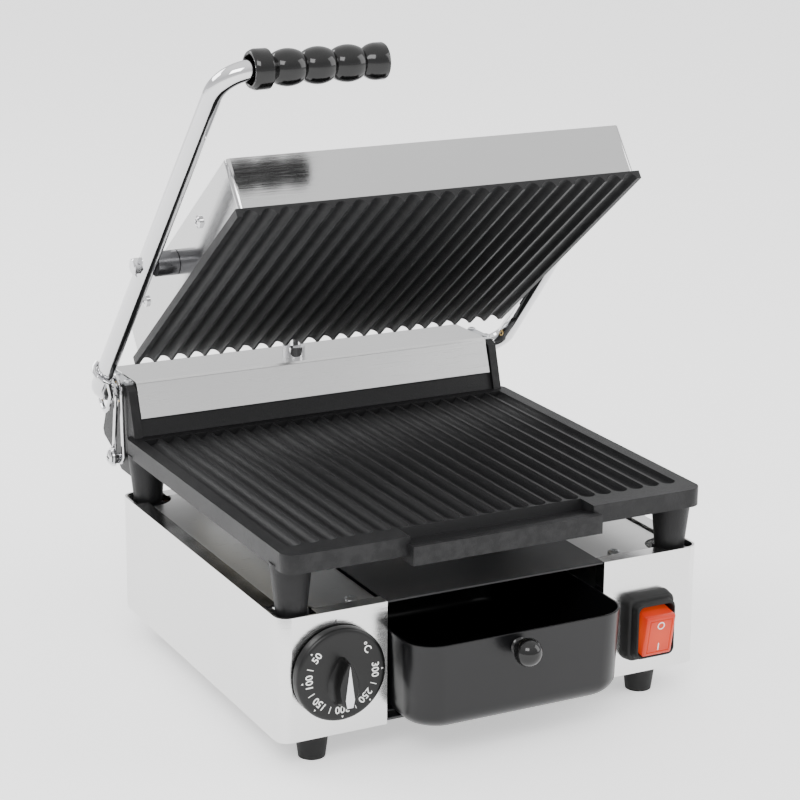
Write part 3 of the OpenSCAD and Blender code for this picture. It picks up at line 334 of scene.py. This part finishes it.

# %% [markdown]
# ## Cast iron, enamel and plastics
# The plates are cast iron with a satin black enamel: a fine pebbled grain that
# spreads the light, and ridges painted a little lighter as a highlight. The drawer is
# smoother enamel on sheet steel. Grip, ball and dial are black plastic of different
# gloss, and the rubber is the dullest of all the blacks.

# %% Blacks
cast = finish_for("enamelled_cast_iron", (0.009, 0.009, 0.0095), 0.0, 0.46, Specular_IOR_Level=0.22)
cast_grain = effect(cast, grain, Fineness=1100.0)
# painted highlight: the sharp convex edges of the castings get a lighter black, broken up by noise
cast_highlight_mask = effect(cast, highlight_group, Start=0.505, End=0.56)["Mask"]
tint(cast, cast_highlight_mask, (0.009, 0.009, 0.0095), (0.016, 0.016, 0.0165))
vary(cast, "Roughness", cast_grain["Patches"], 0.38, 0.52)
bumpy(cast, cast_grain["Grain"], 0.00035, 0.7)

# near-black enamel, partly painted shade: under the plate this colour also stands for the shadow and the
# reflection of the dark plate
black_sheet = finish_for("black_sheet_and_painted_shade", (0.012, 0.012, 0.013), 0.0, 0.35)
sheet_grain = effect(black_sheet, grain, Fineness=900.0)
vary(black_sheet, "Roughness", sheet_grain["Patches"], 0.28, 0.42)
bumpy(black_sheet, sheet_grain["Grain"], 0.0001, 0.3)

drawer_enamel = finish_for("drawer_enamel", (0.0035, 0.0035, 0.004), 0.0, 0.3,
                           Coat_Weight=0.1, Coat_Roughness=0.15, Specular_IOR_Level=0.3)
drawer_grain = effect(drawer_enamel, grain, Fineness=420.0)
vary(drawer_enamel, "Roughness", drawer_grain["Patches"], 0.26, 0.36)
bumpy(drawer_enamel, drawer_grain["Grain"], 0.00006, 0.25)

grip_black = finish_for("grip_plastic", (0.003, 0.003, 0.003), 0.0, 0.14,
                        Coat_Weight=0.1, Coat_Roughness=0.06, Specular_IOR_Level=0.35)
vary(grip_black, "Roughness", effect(grip_black, smear, Amount=1.0)["Marks"], 0.1, 0.24)
dial_black = finish_for("dial_plastic", (0.004, 0.004, 0.004), 0.0, 0.3, Specular_IOR_Level=0.3)
dial_grain = effect(dial_black, grain, Fineness=1600.0)
vary(dial_black, "Roughness", dial_grain["Patches"], 0.24, 0.36)
bumpy(dial_black, dial_grain["Grain"], 0.00004, 0.3)
plain_plastic = finish_for("moulded_black_plastic", (0.018, 0.018, 0.018), 0.0, 0.45)
bumpy(plain_plastic, effect(plain_plastic, grain, Fineness=1400.0)["Grain"], 0.00008, 0.5)
rubber = finish_for("black_rubber", (0.006, 0.006, 0.006), 0.0, 0.6, Specular_IOR_Level=0.3)
rubber_grain = effect(rubber, grain, Fineness=1200.0)
vary(rubber, "Roughness", rubber_grain["Patches"], 0.5, 0.72)
bumpy(rubber, rubber_grain["Grain"], 0.00012, 0.5)

board = finish_for("mineral_board", (0.55, 0.5, 0.38), 0.0, 0.9)
bumpy(board, effect(board, grain, Fineness=300.0)["Grain"], 0.0006, 1.0)
white_plastic = finish_for("white_plastic", (0.75, 0.73, 0.68), 0.0, 0.4)
bumpy(white_plastic, effect(white_plastic, grain, Fineness=1400.0)["Grain"], 0.00006, 0.4)
tan_plastic = finish_for("thermostat_housing", (0.42, 0.33, 0.2), 0.0, 0.5)
bumpy(tan_plastic, effect(tan_plastic, grain, Fineness=900.0)["Grain"], 0.0001, 0.5)
foil = finish_for("silver_foil", (0.66, 0.66, 0.67), 1.0, 0.28)
foil_lines = effect(foil, brush, Stretch=ALONG_Z)
vary(foil, "Roughness", foil_lines["Lines"], 0.2, 0.4)
print("castings, enamels, plastics and rubber")

# %% [markdown]
# ## The red lens
# The rocker is a translucent red lens with a small neon lamp behind it. The glow is
# strongest in the middle, so a soft spherical falloff round the lens's own centre
# drives the emission colour.

# %% Red lens
lens_low, lens_high = (Vector(c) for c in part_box("rocker"))
lens_middle = (lens_low + lens_high) / 2
red_lens = finish_for("red_lens", (0.3, 0.008, 0.004), 0.0, 0.24, Coat_Weight=0.12, Coat_Roughness=0.1,
                      Emission_Strength=0.7, Specular_IOR_Level=0.25)
tree = red_lens.node_tree
coord = tree.nodes.new("ShaderNodeTexCoord")
centre = tree.nodes.new("ShaderNodeMapping")
centre.inputs["Location"].default_value = [-45 * v for v in lens_middle]
centre.inputs["Scale"].default_value = (45, 45, 45)
glow = tree.nodes.new("ShaderNodeTexGradient")
glow.gradient_type = "SPHERICAL"
warm = tree.nodes.new("ShaderNodeValToRGB")
warm.color_ramp.elements[0].color = (0.35, 0.01, 0.0, 1)
warm.color_ramp.elements[1].color = (1.0, 0.16, 0.03, 1)
tree.links.new(coord.outputs["Object"], centre.inputs["Vector"])
tree.links.new(centre.outputs["Vector"], glow.inputs["Vector"])
tree.links.new(glow.outputs["Fac"], warm.inputs["Fac"])
tree.links.new(warm.outputs["Color"], tree.nodes["Principled BSDF"].inputs["Emission Color"])
print("red lens lit round", tuple(round(v, 4) for v in lens_middle))

# %% [markdown]
# ## Finishes on the frame
# Every node of the assembly gets its finish here, by the name of its material slot.
# A few nodes share a slot and yet need their own: the brushed lines of the side
# panels and of the rear cover run their own way.

# %% Paint the nodes
BY_SLOT = {"brushed_panel": side_steel, "polished_cover": lid_steel, "deck_steel": deck_steel,
           "black_sheet": black_sheet, "plain_steel": zinc, "enamelled_iron": cast, "element_sheath": sheath,
           "mineral_wool": board, "chrome_plate": chrome, "brass": brass, "spring_steel": chrome,
           "thermostat_body": tan_plastic, "copper": copper, "black_plastic": plain_plastic,
           "black_rubber": rubber,
           "dark_steel": dark_steel, "white_plastic": white_plastic, "grip_plastic": grip_black,
           "drawer_enamel": drawer_enamel,
           "dial_plastic": dial_black, "silver_plastic": foil, "red_lens": red_lens}
BY_NODE = {"rear_cover": cover_steel, "rear_panel": front_steel}
for part in frame["record"]["subparts"]:
    obj = nodes[part["node"]]
    obj.data.materials.clear()
    obj.data.materials.append(BY_NODE.get(part["node"], BY_SLOT[part["material_slot"]]))
print("painted", len(nodes), "nodes")

# %% [markdown]
# ## Tools for modelling
# Most of the finer pieces come from two habits of the hand. A turned piece starts as a
# ring that is extruded and scaled along its axis, as on a lathe. A pressed or moulded
# piece starts as a rounded rectangle that is extruded and scaled in the same way. Two
# more tools apply a modifier at once, and finish a piece: smooth it, paint it, set it
# on its body and hide the nodes it stands for.

# %% Modelling tools
MM = 0.001


def select_only(obj):
    bpy.ops.object.select_all(action="DESELECT")
    obj.select_set(True)
    bpy.context.view_layer.objects.active = obj


def close_up(ends):
    """Puts a face on the last ring of the piece in edit mode, and on the first one too unless ends is far."""
    bpy.ops.mesh.edge_face_add()
    if ends == "closed":
        bpy.ops.mesh.select_all(action="DESELECT")
        bpy.ops.mesh.select_non_manifold()
        bpy.ops.mesh.edge_face_add()
    bpy.ops.mesh.select_all(action="SELECT")
    bpy.ops.mesh.normals_make_consistent(inside=False)
    bpy.ops.object.mode_set(mode="OBJECT")


def turned(name, start, way, outline, sides=64, ends="closed"):
    """A ring that is extruded and scaled from one point of the outline to the next, in millimetres."""
    start, way = Vector(start), Vector(way).normalized()
    along, radius = outline[0]
    turn = Vector((0, 0, 1)).rotation_difference(way).to_euler()
    bpy.ops.object.select_all(action="DESELECT")
    bpy.ops.mesh.primitive_circle_add(vertices=sides, radius=radius * MM,
                                      location=start + way * along * MM, rotation=turn)
    obj = bpy.context.object
    obj.name = name
    bpy.ops.object.transform_apply(location=True, rotation=True, scale=True)
    bpy.ops.object.mode_set(mode="EDIT")
    bpy.ops.mesh.select_all(action="SELECT")
    for next_along, next_radius in outline[1:]:
        bpy.ops.mesh.extrude_region_move(
            TRANSFORM_OT_translate={"value": way * (next_along - along) * MM})
        along = next_along
        bpy.ops.transform.resize(value=[next_radius / radius] * 3,
                                 center_override=start + way * along * MM)
        radius = next_radius
    close_up(ends)
    return obj


def stepped(name, centre, way, half, corner, steps, ends="closed", rounding=8):
    """A rounded rectangle, extruded along way: each step is (distance, how much smaller all round)."""
    centre, way = Vector(centre), Vector(way).normalized()
    flat = Vector((0, 0, 1)).rotation_difference(Vector([abs(v) for v in way])).to_euler()
    sides = [h for h in half if h > 0]
    bpy.ops.object.select_all(action="DESELECT")
    bpy.ops.mesh.primitive_plane_add(size=2, location=centre + way * steps[0][0] * MM, rotation=flat)
    obj = bpy.context.object
    obj.name = name
    obj.scale = (sides[0] * MM, sides[1] * MM, 1)
    bpy.ops.object.transform_apply(location=True, rotation=True, scale=True)
    bpy.ops.object.mode_set(mode="EDIT")
    bpy.ops.mesh.select_all(action="SELECT")
    bpy.ops.mesh.bevel(offset=corner * MM, segments=rounding, affect="VERTICES")
    bpy.ops.mesh.delete(type="ONLY_FACE")
    bpy.ops.mesh.select_all(action="SELECT")
    along, shrink = steps[0]
    if shrink:
        bpy.ops.transform.resize(value=[(h - shrink) / h if h else 1 for h in half],
                                 center_override=centre + way * along * MM)
    for next_along, next_shrink in steps[1:]:
        bpy.ops.mesh.extrude_region_move(
            TRANSFORM_OT_translate={"value": way * (next_along - along) * MM})
        along = next_along
        bpy.ops.transform.resize(value=[(h - next_shrink) / (h - shrink) if h else 1 for h in half],
                                 center_override=centre + way * along * MM)
        shrink = next_shrink
    close_up(ends)
    return obj


def add_modifier(obj, kind, **values):
    """Adds a modifier with its values and applies it."""
    select_only(obj)
    bpy.ops.object.modifier_add(type=kind)
    modifier = obj.modifiers[-1]
    for label, value in values.items():
        setattr(modifier, label, value)
    bpy.ops.object.modifier_apply(modifier=modifier.name)


def settle(obj, paint, body, slot, *stands_for, angle=32):
    """Smooths and paints a finished piece, sets it on its body and hides the nodes it stands for."""
    select_only(obj)
    bpy.ops.object.shade_smooth_by_angle(angle=radians(angle))
    obj.data.materials.clear()
    obj.data.materials.append(paint)
    if body:
        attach(obj, body)
    if stands_for:
        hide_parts(*stands_for)
    print(obj.name, len(obj.data.polygons), "faces")
    return obj


def middle(node):
    low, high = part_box(node)
    return (low + high) / 2


print("turned, stepped, add_modifier and settle are ready")

# %% [markdown]
# ## The grip
# The grip is one moulding with a collar at the bend of the rod, three finger bulges
# and a flared end. It is round all the way along, so a lathe outline gives all of it,
# the deep mouth for the rod included. Each bulge is an arch that comes down sharply
# to the next, and that is what gives the row of highlights.

# %% Grip
grip_low, grip_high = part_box("handle_grip")
grip_long = (grip_high.x - grip_low.x) / MM
NECK, BULGE, COLLAR = 7.6, 11.1, 12.0
BULGE_START, BULGE_LENGTH = 14.4, (grip_long - 28.6) / 3
grip_outline = [(grip_long - 7.5, 6.35), (6, 6.35), (6, 8.8), (0.4, 8.9), (0, 9.3), (0, 10.3), (0.5, 10.9),
                (2.6, 11.85), (3.2, COLLAR), (10.2, COLLAR), (11, 11.8), (13.8, 8.1)]
for bulge in range(3):
    for step in range(14):
        share = step / 14
        grip_outline.append((BULGE_START + BULGE_LENGTH * (bulge + share),
                             NECK + (BULGE - NECK) * sin(pi * share) ** 0.62))
grip_outline += [(grip_long - 14.2, NECK), (grip_long - 12.5, 8.9), (grip_long - 10.5, 10.1),
                 (grip_long - 8, 10.9),
                 (grip_long - 6, BULGE), (grip_long - 1.4, BULGE), (grip_long - 0.4, 10.6),
                 (grip_long, 9.8), (grip_long - 0.3, 5)]
grip_middle = (grip_low + grip_high) / 2
grip = turned("grip", (grip_low.x, grip_middle.y, grip_middle.z), (1, 0, 0), grip_outline, sides=80)
settle(grip, grip_black, "arm", "grip_plastic", "handle_grip", angle=28)

# %% [markdown]
# ## The grease drawer
# The drawer is a deep pressed tub: upright corners with a wide radius, walls that lean
# in a little, and a bottom edge rounded all the way round. A rounded rectangle is
# extruded down the wall, then scaled in step by step for the bottom radius. The sheet
# gets its thickness last, towards the inside, and its rim is eased by a small bevel.

# %% Drawer
tub_low, tub_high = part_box("grease_drawer")
TUB_BACK, TUB_FRONT = tub_high.y, tub_low.y + 0.2 * MM
tub_half = (tub_high.x / MM, (TUB_BACK - TUB_FRONT) / 2 / MM, 0)
TUB_DEEP = (tub_high.z - tub_low.z) / MM
TUB_EDGE, TUB_LEAN, TUB_CORNER, TUB_SHEET = 11, 1.6, 20, 1.5
tub_steps = [(0, 0), (1.2, 0.05), (TUB_DEEP * 0.4, TUB_LEAN * 0.5), (TUB_DEEP - TUB_EDGE, TUB_LEAN)]
for turn in range(12, 91, 13):
    tub_steps.append((TUB_DEEP - TUB_EDGE * (1 - sin(radians(turn))),
                      TUB_LEAN + TUB_EDGE * (1 - cos(radians(turn)))))
drawer = stepped("drawer_tub", (0, (TUB_BACK + TUB_FRONT) / 2, tub_high.z), (0, 0, -1), tub_half, TUB_CORNER,
                 tub_steps, ends="far", rounding=12)
add_modifier(drawer, "SOLIDIFY", thickness=TUB_SHEET * MM, offset=-1)
add_modifier(drawer, "BEVEL", width=0.35 * MM, segments=2, limit_method="ANGLE", angle_limit=radians(50))
settle(drawer, drawer_enamel, "drawer", "drawer_enamel", "grease_drawer")

# %% [markdown]
# ## The ball knob
# A small flared foot, a short neck and a ball: a classic lathe piece. The ball is
# sampled by angle so that its facets are even, and it is glossy enough to show the
# lamps.

# %% Ball knob
ball_low, ball_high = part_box("drawer_ball_knob")
BALL_R = (ball_high.x - ball_low.x) / 2 / MM
ball_seat = Vector((middle("drawer_ball_knob").x, ball_high.y, middle("drawer_ball_knob").z))
ball_centre = (ball_high.y - ball_low.y) / MM - BALL_R
ball_outline = [(0, 5.4), (0.3, 5.6), (0.9, 5.6), (1.4, 5.1), (2, 4.6), (3.6, 4.4)]
ball_outline += [(ball_centre - BALL_R * cos(radians(a)), BALL_R * sin(radians(a)))
                 for a in range(32, 180, 6)]
ball = turned("drawer_ball", ball_seat, (0, -1, 0), ball_outline, sides=48)
settle(ball, grip_black, "drawer", "grip_plastic", "drawer_ball_knob", angle=40)

# %% [markdown]
# ## The thermostat knob
# The skirt and the gently raised face of the knob are turned. The bar that the fingers hold
# is a long drop shape that spreads out towards the face: a circle is drawn out, its
# upper half is pinched to a point, and it is extruded outwards in steps that get
# smaller. A union makes the two one moulding. The silver drop on its ridge is a node
# of the assembly and stays.

# %% Thermostat knob
knob_low, knob_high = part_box("thermostat_knob")
KNOB_R = (knob_high.x - knob_low.x) / 2 / MM
knob_back = Vector((middle("thermostat_knob").x, knob_high.y, middle("thermostat_knob").z))
KNOB_TALL = (knob_high.y - knob_low.y) / MM
skirt = turned("thermostat_dial", knob_back, (0, -1, 0),
               [(0, 3.1), (0, KNOB_R - 0.6), (0.5, KNOB_R), (5.2, KNOB_R), (6.3, KNOB_R - 0.4),
                (7.0, KNOB_R - 1.2), (7.3, KNOB_R - 2.4), (7.35, 25), (7.36, 17),
                (7.9, 13), (8.2, 6)], sides=96)
pointer_low, pointer_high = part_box("knob_pointer")
BAR_HALF = (pointer_high.z - pointer_low.z) / 2 / MM + 2.5
bar_up = ((pointer_high.z + pointer_low.z) / 2 - knob_back.z) / MM
bar_middle = knob_back + Vector((0, -6.4, bar_up)) * MM
bpy.ops.object.select_all(action="DESELECT")
bpy.ops.mesh.primitive_circle_add(vertices=56, radius=1, fill_type="NGON", rotation=(radians(90), 0, 0),
                                  location=bar_middle)
bar = bpy.context.object
bar.name = "knob_bar"
bar.scale = (12 * MM, BAR_HALF * MM, 1)
bpy.ops.object.transform_apply(location=True, rotation=True, scale=True)
for vertex in bar.data.vertices:
    rise = max(vertex.co.z - bar_middle.z, 0) / (BAR_HALF * MM)
    vertex.co.x = bar_middle.x + (vertex.co.x - bar_middle.x) * (1 - 0.55 * rise ** 1.3)
bpy.ops.object.mode_set(mode="EDIT")
bpy.ops.mesh.select_all(action="SELECT")
bar_steps = [(1.2, 0.86, 0.99), (1.2, 0.82, 0.985), (1.6, 0.86, 0.985), (2.2, 0.92, 0.99), (2.6, 0.95, 0.99),
             (KNOB_TALL - 6.4 - 8.8 - 0.5, 0.97, 0.995), (0.5, 0.93, 0.985)]
depth = 6.4
for rise, across, tall in bar_steps:
    bpy.ops.mesh.extrude_region_move(TRANSFORM_OT_translate={"value": (0, -rise * MM, 0)})
    depth += rise
    bpy.ops.transform.resize(value=(across, 1, tall),
                             center_override=knob_back + Vector((0, -depth, bar_up)) * MM)
bpy.ops.mesh.select_all(action="SELECT")
bpy.ops.mesh.normals_make_consistent(inside=False)
bpy.ops.object.mode_set(mode="OBJECT")
add_modifier(skirt, "BOOLEAN", object=bar, operation="UNION", solver="EXACT")
bpy.data.objects.remove(bar)
settle(skirt, dial_black, "knob", "dial_plastic", "thermostat_knob", angle=30)

# %% [markdown]
# ## The printed scale
# The scale runs round the face: numbers from 50 to 300 with their tops outwards, a
# small triangle outside each one, and a line halfway between them. Each mark is made
# upright at the top of the dial and then set at its angle. The print is a film a few
# hundredths of a millimetre thick. The panel has one short line over the knob, which
# the scale is read against.

# %% Dial print
white_print = finish_for("white_print", (0.78, 0.78, 0.76), 0.0, 0.5)
bumpy(white_print, effect(white_print, grain, Fineness=2200.0)["Grain"], 0.00002, 0.3)
grey_ink = finish_for("grey_print", (0.06, 0.06, 0.06), 0.0, 0.5)
bumpy(grey_ink, effect(grey_ink, grain, Fineness=2200.0)["Grain"], 0.00002, 0.3)
SCALE = [("50", -50), ("100", -92), ("150", -136), ("200", 180), ("250", 136), ("300", 90), ("°C", 46)]
FACE = 7.42
TEXT_RADIUS, TEXT_SIZE, TRIANGLE_RADIUS, LINE_RADIUS = 21.6, 6.6, 26.4, 22.4


def on_dial(angle, radius, height=FACE):
    """Where a mark goes, and how it is turned, at an angle clockwise from the top of the dial."""
    spot = knob_back + Vector((radius * sin(radians(angle)), -height, radius * cos(radians(angle)))) * MM
    return spot, (Matrix.Rotation(radians(90), 4, "X") @ Matrix.Rotation(radians(-angle), 4, "Z")).to_euler()


def mark(kind, angle, radius, wide, tall):
    spot, turn = on_dial(angle, radius)
    bpy.ops.object.select_all(action="DESELECT")
    if kind == "line":
        bpy.ops.mesh.primitive_plane_add(size=1, location=spot, rotation=turn)
    else:
        bpy.ops.mesh.primitive_circle_add(vertices=3, radius=0.6, fill_type="NGON",
                                          location=spot, rotation=turn)
    shape = bpy.context.object
    shape.scale = (wide * MM, tall * MM, 1)
    bpy.ops.object.transform_apply(location=True, rotation=True, scale=True)
    return shape


prints = []
for label, angle in SCALE:
    spot, turn = on_dial(angle, TEXT_RADIUS)
    bpy.ops.object.select_all(action="DESELECT")
    bpy.ops.object.text_add(location=spot, rotation=turn)
    text = bpy.context.object
    text.data.body = label
    text.data.size = TEXT_SIZE * MM
    text.data.align_x, text.data.align_y = "CENTER", "CENTER"
    text.data.resolution_u = 3
    text.data.offset = 0.09 * MM
    bpy.ops.object.convert(target="MESH")
    bpy.ops.object.transform_apply(location=True, rotation=True, scale=True)
    prints.append(bpy.context.object)
    if label != "°C":
        prints.append(mark("triangle", angle, TRIANGLE_RADIUS, 1.3, 1.5))
for angle in (-71, -114, -158, 158, 113):
    prints.append(mark("line", angle, LINE_RADIUS, 0.5, 4.4))
bpy.ops.object.select_all(action="DESELECT")
for shape in prints:
    shape.select_set(True)
bpy.context.view_layer.objects.active = prints[0]
bpy.ops.object.join()
dial_print = bpy.context.object
dial_print.name = "dial_print"
add_modifier(dial_print, "SOLIDIFY", thickness=0.06 * MM, offset=0)
settle(dial_print, white_print, "knob", "dial_plastic")

index_mark = mark("line", 0, KNOB_R + 2.0, 1.0, 2.4)
index_mark.name = "panel_index_mark"
panel_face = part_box("left_panel")[0].y
for vertex in index_mark.data.vertices:
    vertex.co.y = panel_face - 0.03 * MM
add_modifier(index_mark, "SOLIDIFY", thickness=0.05 * MM, offset=0)
settle(index_mark, grey_ink, "base", "brushed_panel")

# %% [markdown]
# ## The switch
# A soft surround sits on the panel in two steps and turns down into its own mouth; all
# of it is one rounded rectangle that is extruded out, in, and back. The lens is a block
# with rounded edges, tipped about its pivot the way the rocker stands, with a fine
# groove sunk round its face. The ring and the bar on it are the usual marks for off
# and on.

# %% Switch surround and lens
boot_low, boot_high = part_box("switch_boot")
boot_half = ((boot_high.x - boot_low.x) / 2 / MM, 0, (boot_high.z - boot_low.z) / 2 / MM)
boot_seat = Vector(((boot_low.x + boot_high.x) / 2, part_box("left_panel")[0].y,
                    (boot_low.z + boot_high.z) / 2))
boot_steps = [(0, 0), (1.5, 0.1), (6.6, 0.8), (7.5, 1.3), (7.9, 2.1), (8.1, 2.9), (9, 3.2), (12.6, 3.5),
              (13.5, 3.9),
              (13.9, 4.5), (13.9, 4.9), (13.4, 5.3), (11, 5.4), (3, 5.5)]
boot = stepped("switch_surround", boot_seat, (0, -1, 0), boot_half, 5.5, boot_steps, rounding=7)
settle(boot, rubber, "base", "black_rubber", "switch_boot", angle=40)

# the lens: a rounded block with a groove sunk round its face
pivot = boot_seat + Vector((0, -4.5, 0)) * MM
bpy.ops.object.select_all(action="DESELECT")
bpy.ops.mesh.primitive_cube_add(size=2, location=pivot + Vector((0, -6, 0)) * MM)
lens = bpy.context.object
lens.name = "switch_lens"
lens.scale = (10.9 * MM, 7.7 * MM, 14.2 * MM)
bpy.ops.object.transform_apply(location=True, rotation=True, scale=True)
bpy.ops.object.mode_set(mode="EDIT")
bpy.ops.mesh.select_all(action="SELECT")
bpy.ops.mesh.bevel(offset=1.7 * MM, segments=5, affect="EDGES")
bpy.ops.mesh.select_mode(type="FACE")
bpy.ops.mesh.select_all(action="DESELECT")
bpy.ops.object.mode_set(mode="OBJECT")
front = min(lens.data.polygons, key=lambda face: face.center.y - face.area)
for face in lens.data.polygons:
    face.select = face.index == front.index
bpy.ops.object.mode_set(mode="EDIT")
for inward, sink in ((0.7, 0), (0.25, 0.45), (0.35, 0), (0.25, -0.45)):
    bpy.ops.mesh.inset(thickness=inward * MM)
    bpy.ops.transform.translate(value=(0, sink * MM, 0))
bpy.ops.object.mode_set(mode="OBJECT")
REST_TIP = 10
TIP = Matrix.Translation(pivot) @ Matrix.Rotation(radians(REST_TIP), 4, "X") @ Matrix.Translation(-pivot)
lens.data.transform(TIP)
settle(lens, red_lens, "rocker", "red_lens", "rocker", angle=35)

MARK_OUT, MARK_UP = 13.75, 7.6
bpy.ops.object.select_all(action="DESELECT")
bpy.ops.mesh.primitive_torus_add(major_radius=2.3 * MM, minor_radius=0.32 * MM,
                                 major_segments=40, minor_segments=10,
                                 location=pivot + Vector((0, -MARK_OUT, MARK_UP)) * MM,
                                 rotation=(radians(90), 0, 0))
ring = bpy.context.object
bpy.ops.object.transform_apply(location=True, rotation=True, scale=True)
bpy.ops.mesh.primitive_cube_add(size=2, location=pivot + Vector((0, -MARK_OUT, -MARK_UP)) * MM)
mark_bar = bpy.context.object
mark_bar.scale = (0.33 * MM, 0.3 * MM, 2.5 * MM)
bpy.ops.object.transform_apply(location=True, rotation=True, scale=True)
add_modifier(mark_bar, "BEVEL", width=0.15 * MM, segments=2)
ring.select_set(True)
bpy.context.view_layer.objects.active = ring
bpy.ops.object.join()
ring.name = "rocker_marks"
ring.data.transform(TIP)
settle(ring, white_print, "rocker", "red_lens", angle=40)

# %% [markdown]
# ## Softened edges
# Nothing cast or folded has a knife edge. The castings and the larger sheets get a
# small rounding on their sharp edges, so that each edge catches a thin line of light, as the enamelled
# castings do most clearly.

# %% Softened edges
def soften(node, width, segments=2):
    obj = nodes[node]
    weld = obj.modifiers.new("weld", "WELD")
    weld.merge_threshold = 0.01 * MM
    flat = obj.modifiers.new("flat", "DECIMATE")
    flat.decimate_type = "DISSOLVE"
    flat.angle_limit = radians(0.6)
    rounding = obj.modifiers.new("rounding", "BEVEL")
    rounding.width = width * MM
    rounding.segments = segments
    rounding.limit_method = "ANGLE"
    rounding.angle_limit = radians(38)
    rounding.use_clamp_overlap = True
    rounding.harden_normals = False


for node, width in (("lower_plate", 0.9), ("upper_plate", 0.9), ("rear_cover", 0.8), ("lid_cover", 0.5),
                    ("left_panel", 0.35), ("right_panel", 0.35), ("drip_shield", 0.4), ("top_deck", 0.3)):
    soften(node, width)
print("edges softened")

# %% [markdown]
# ## Finish

# %% Finish
print("finished")
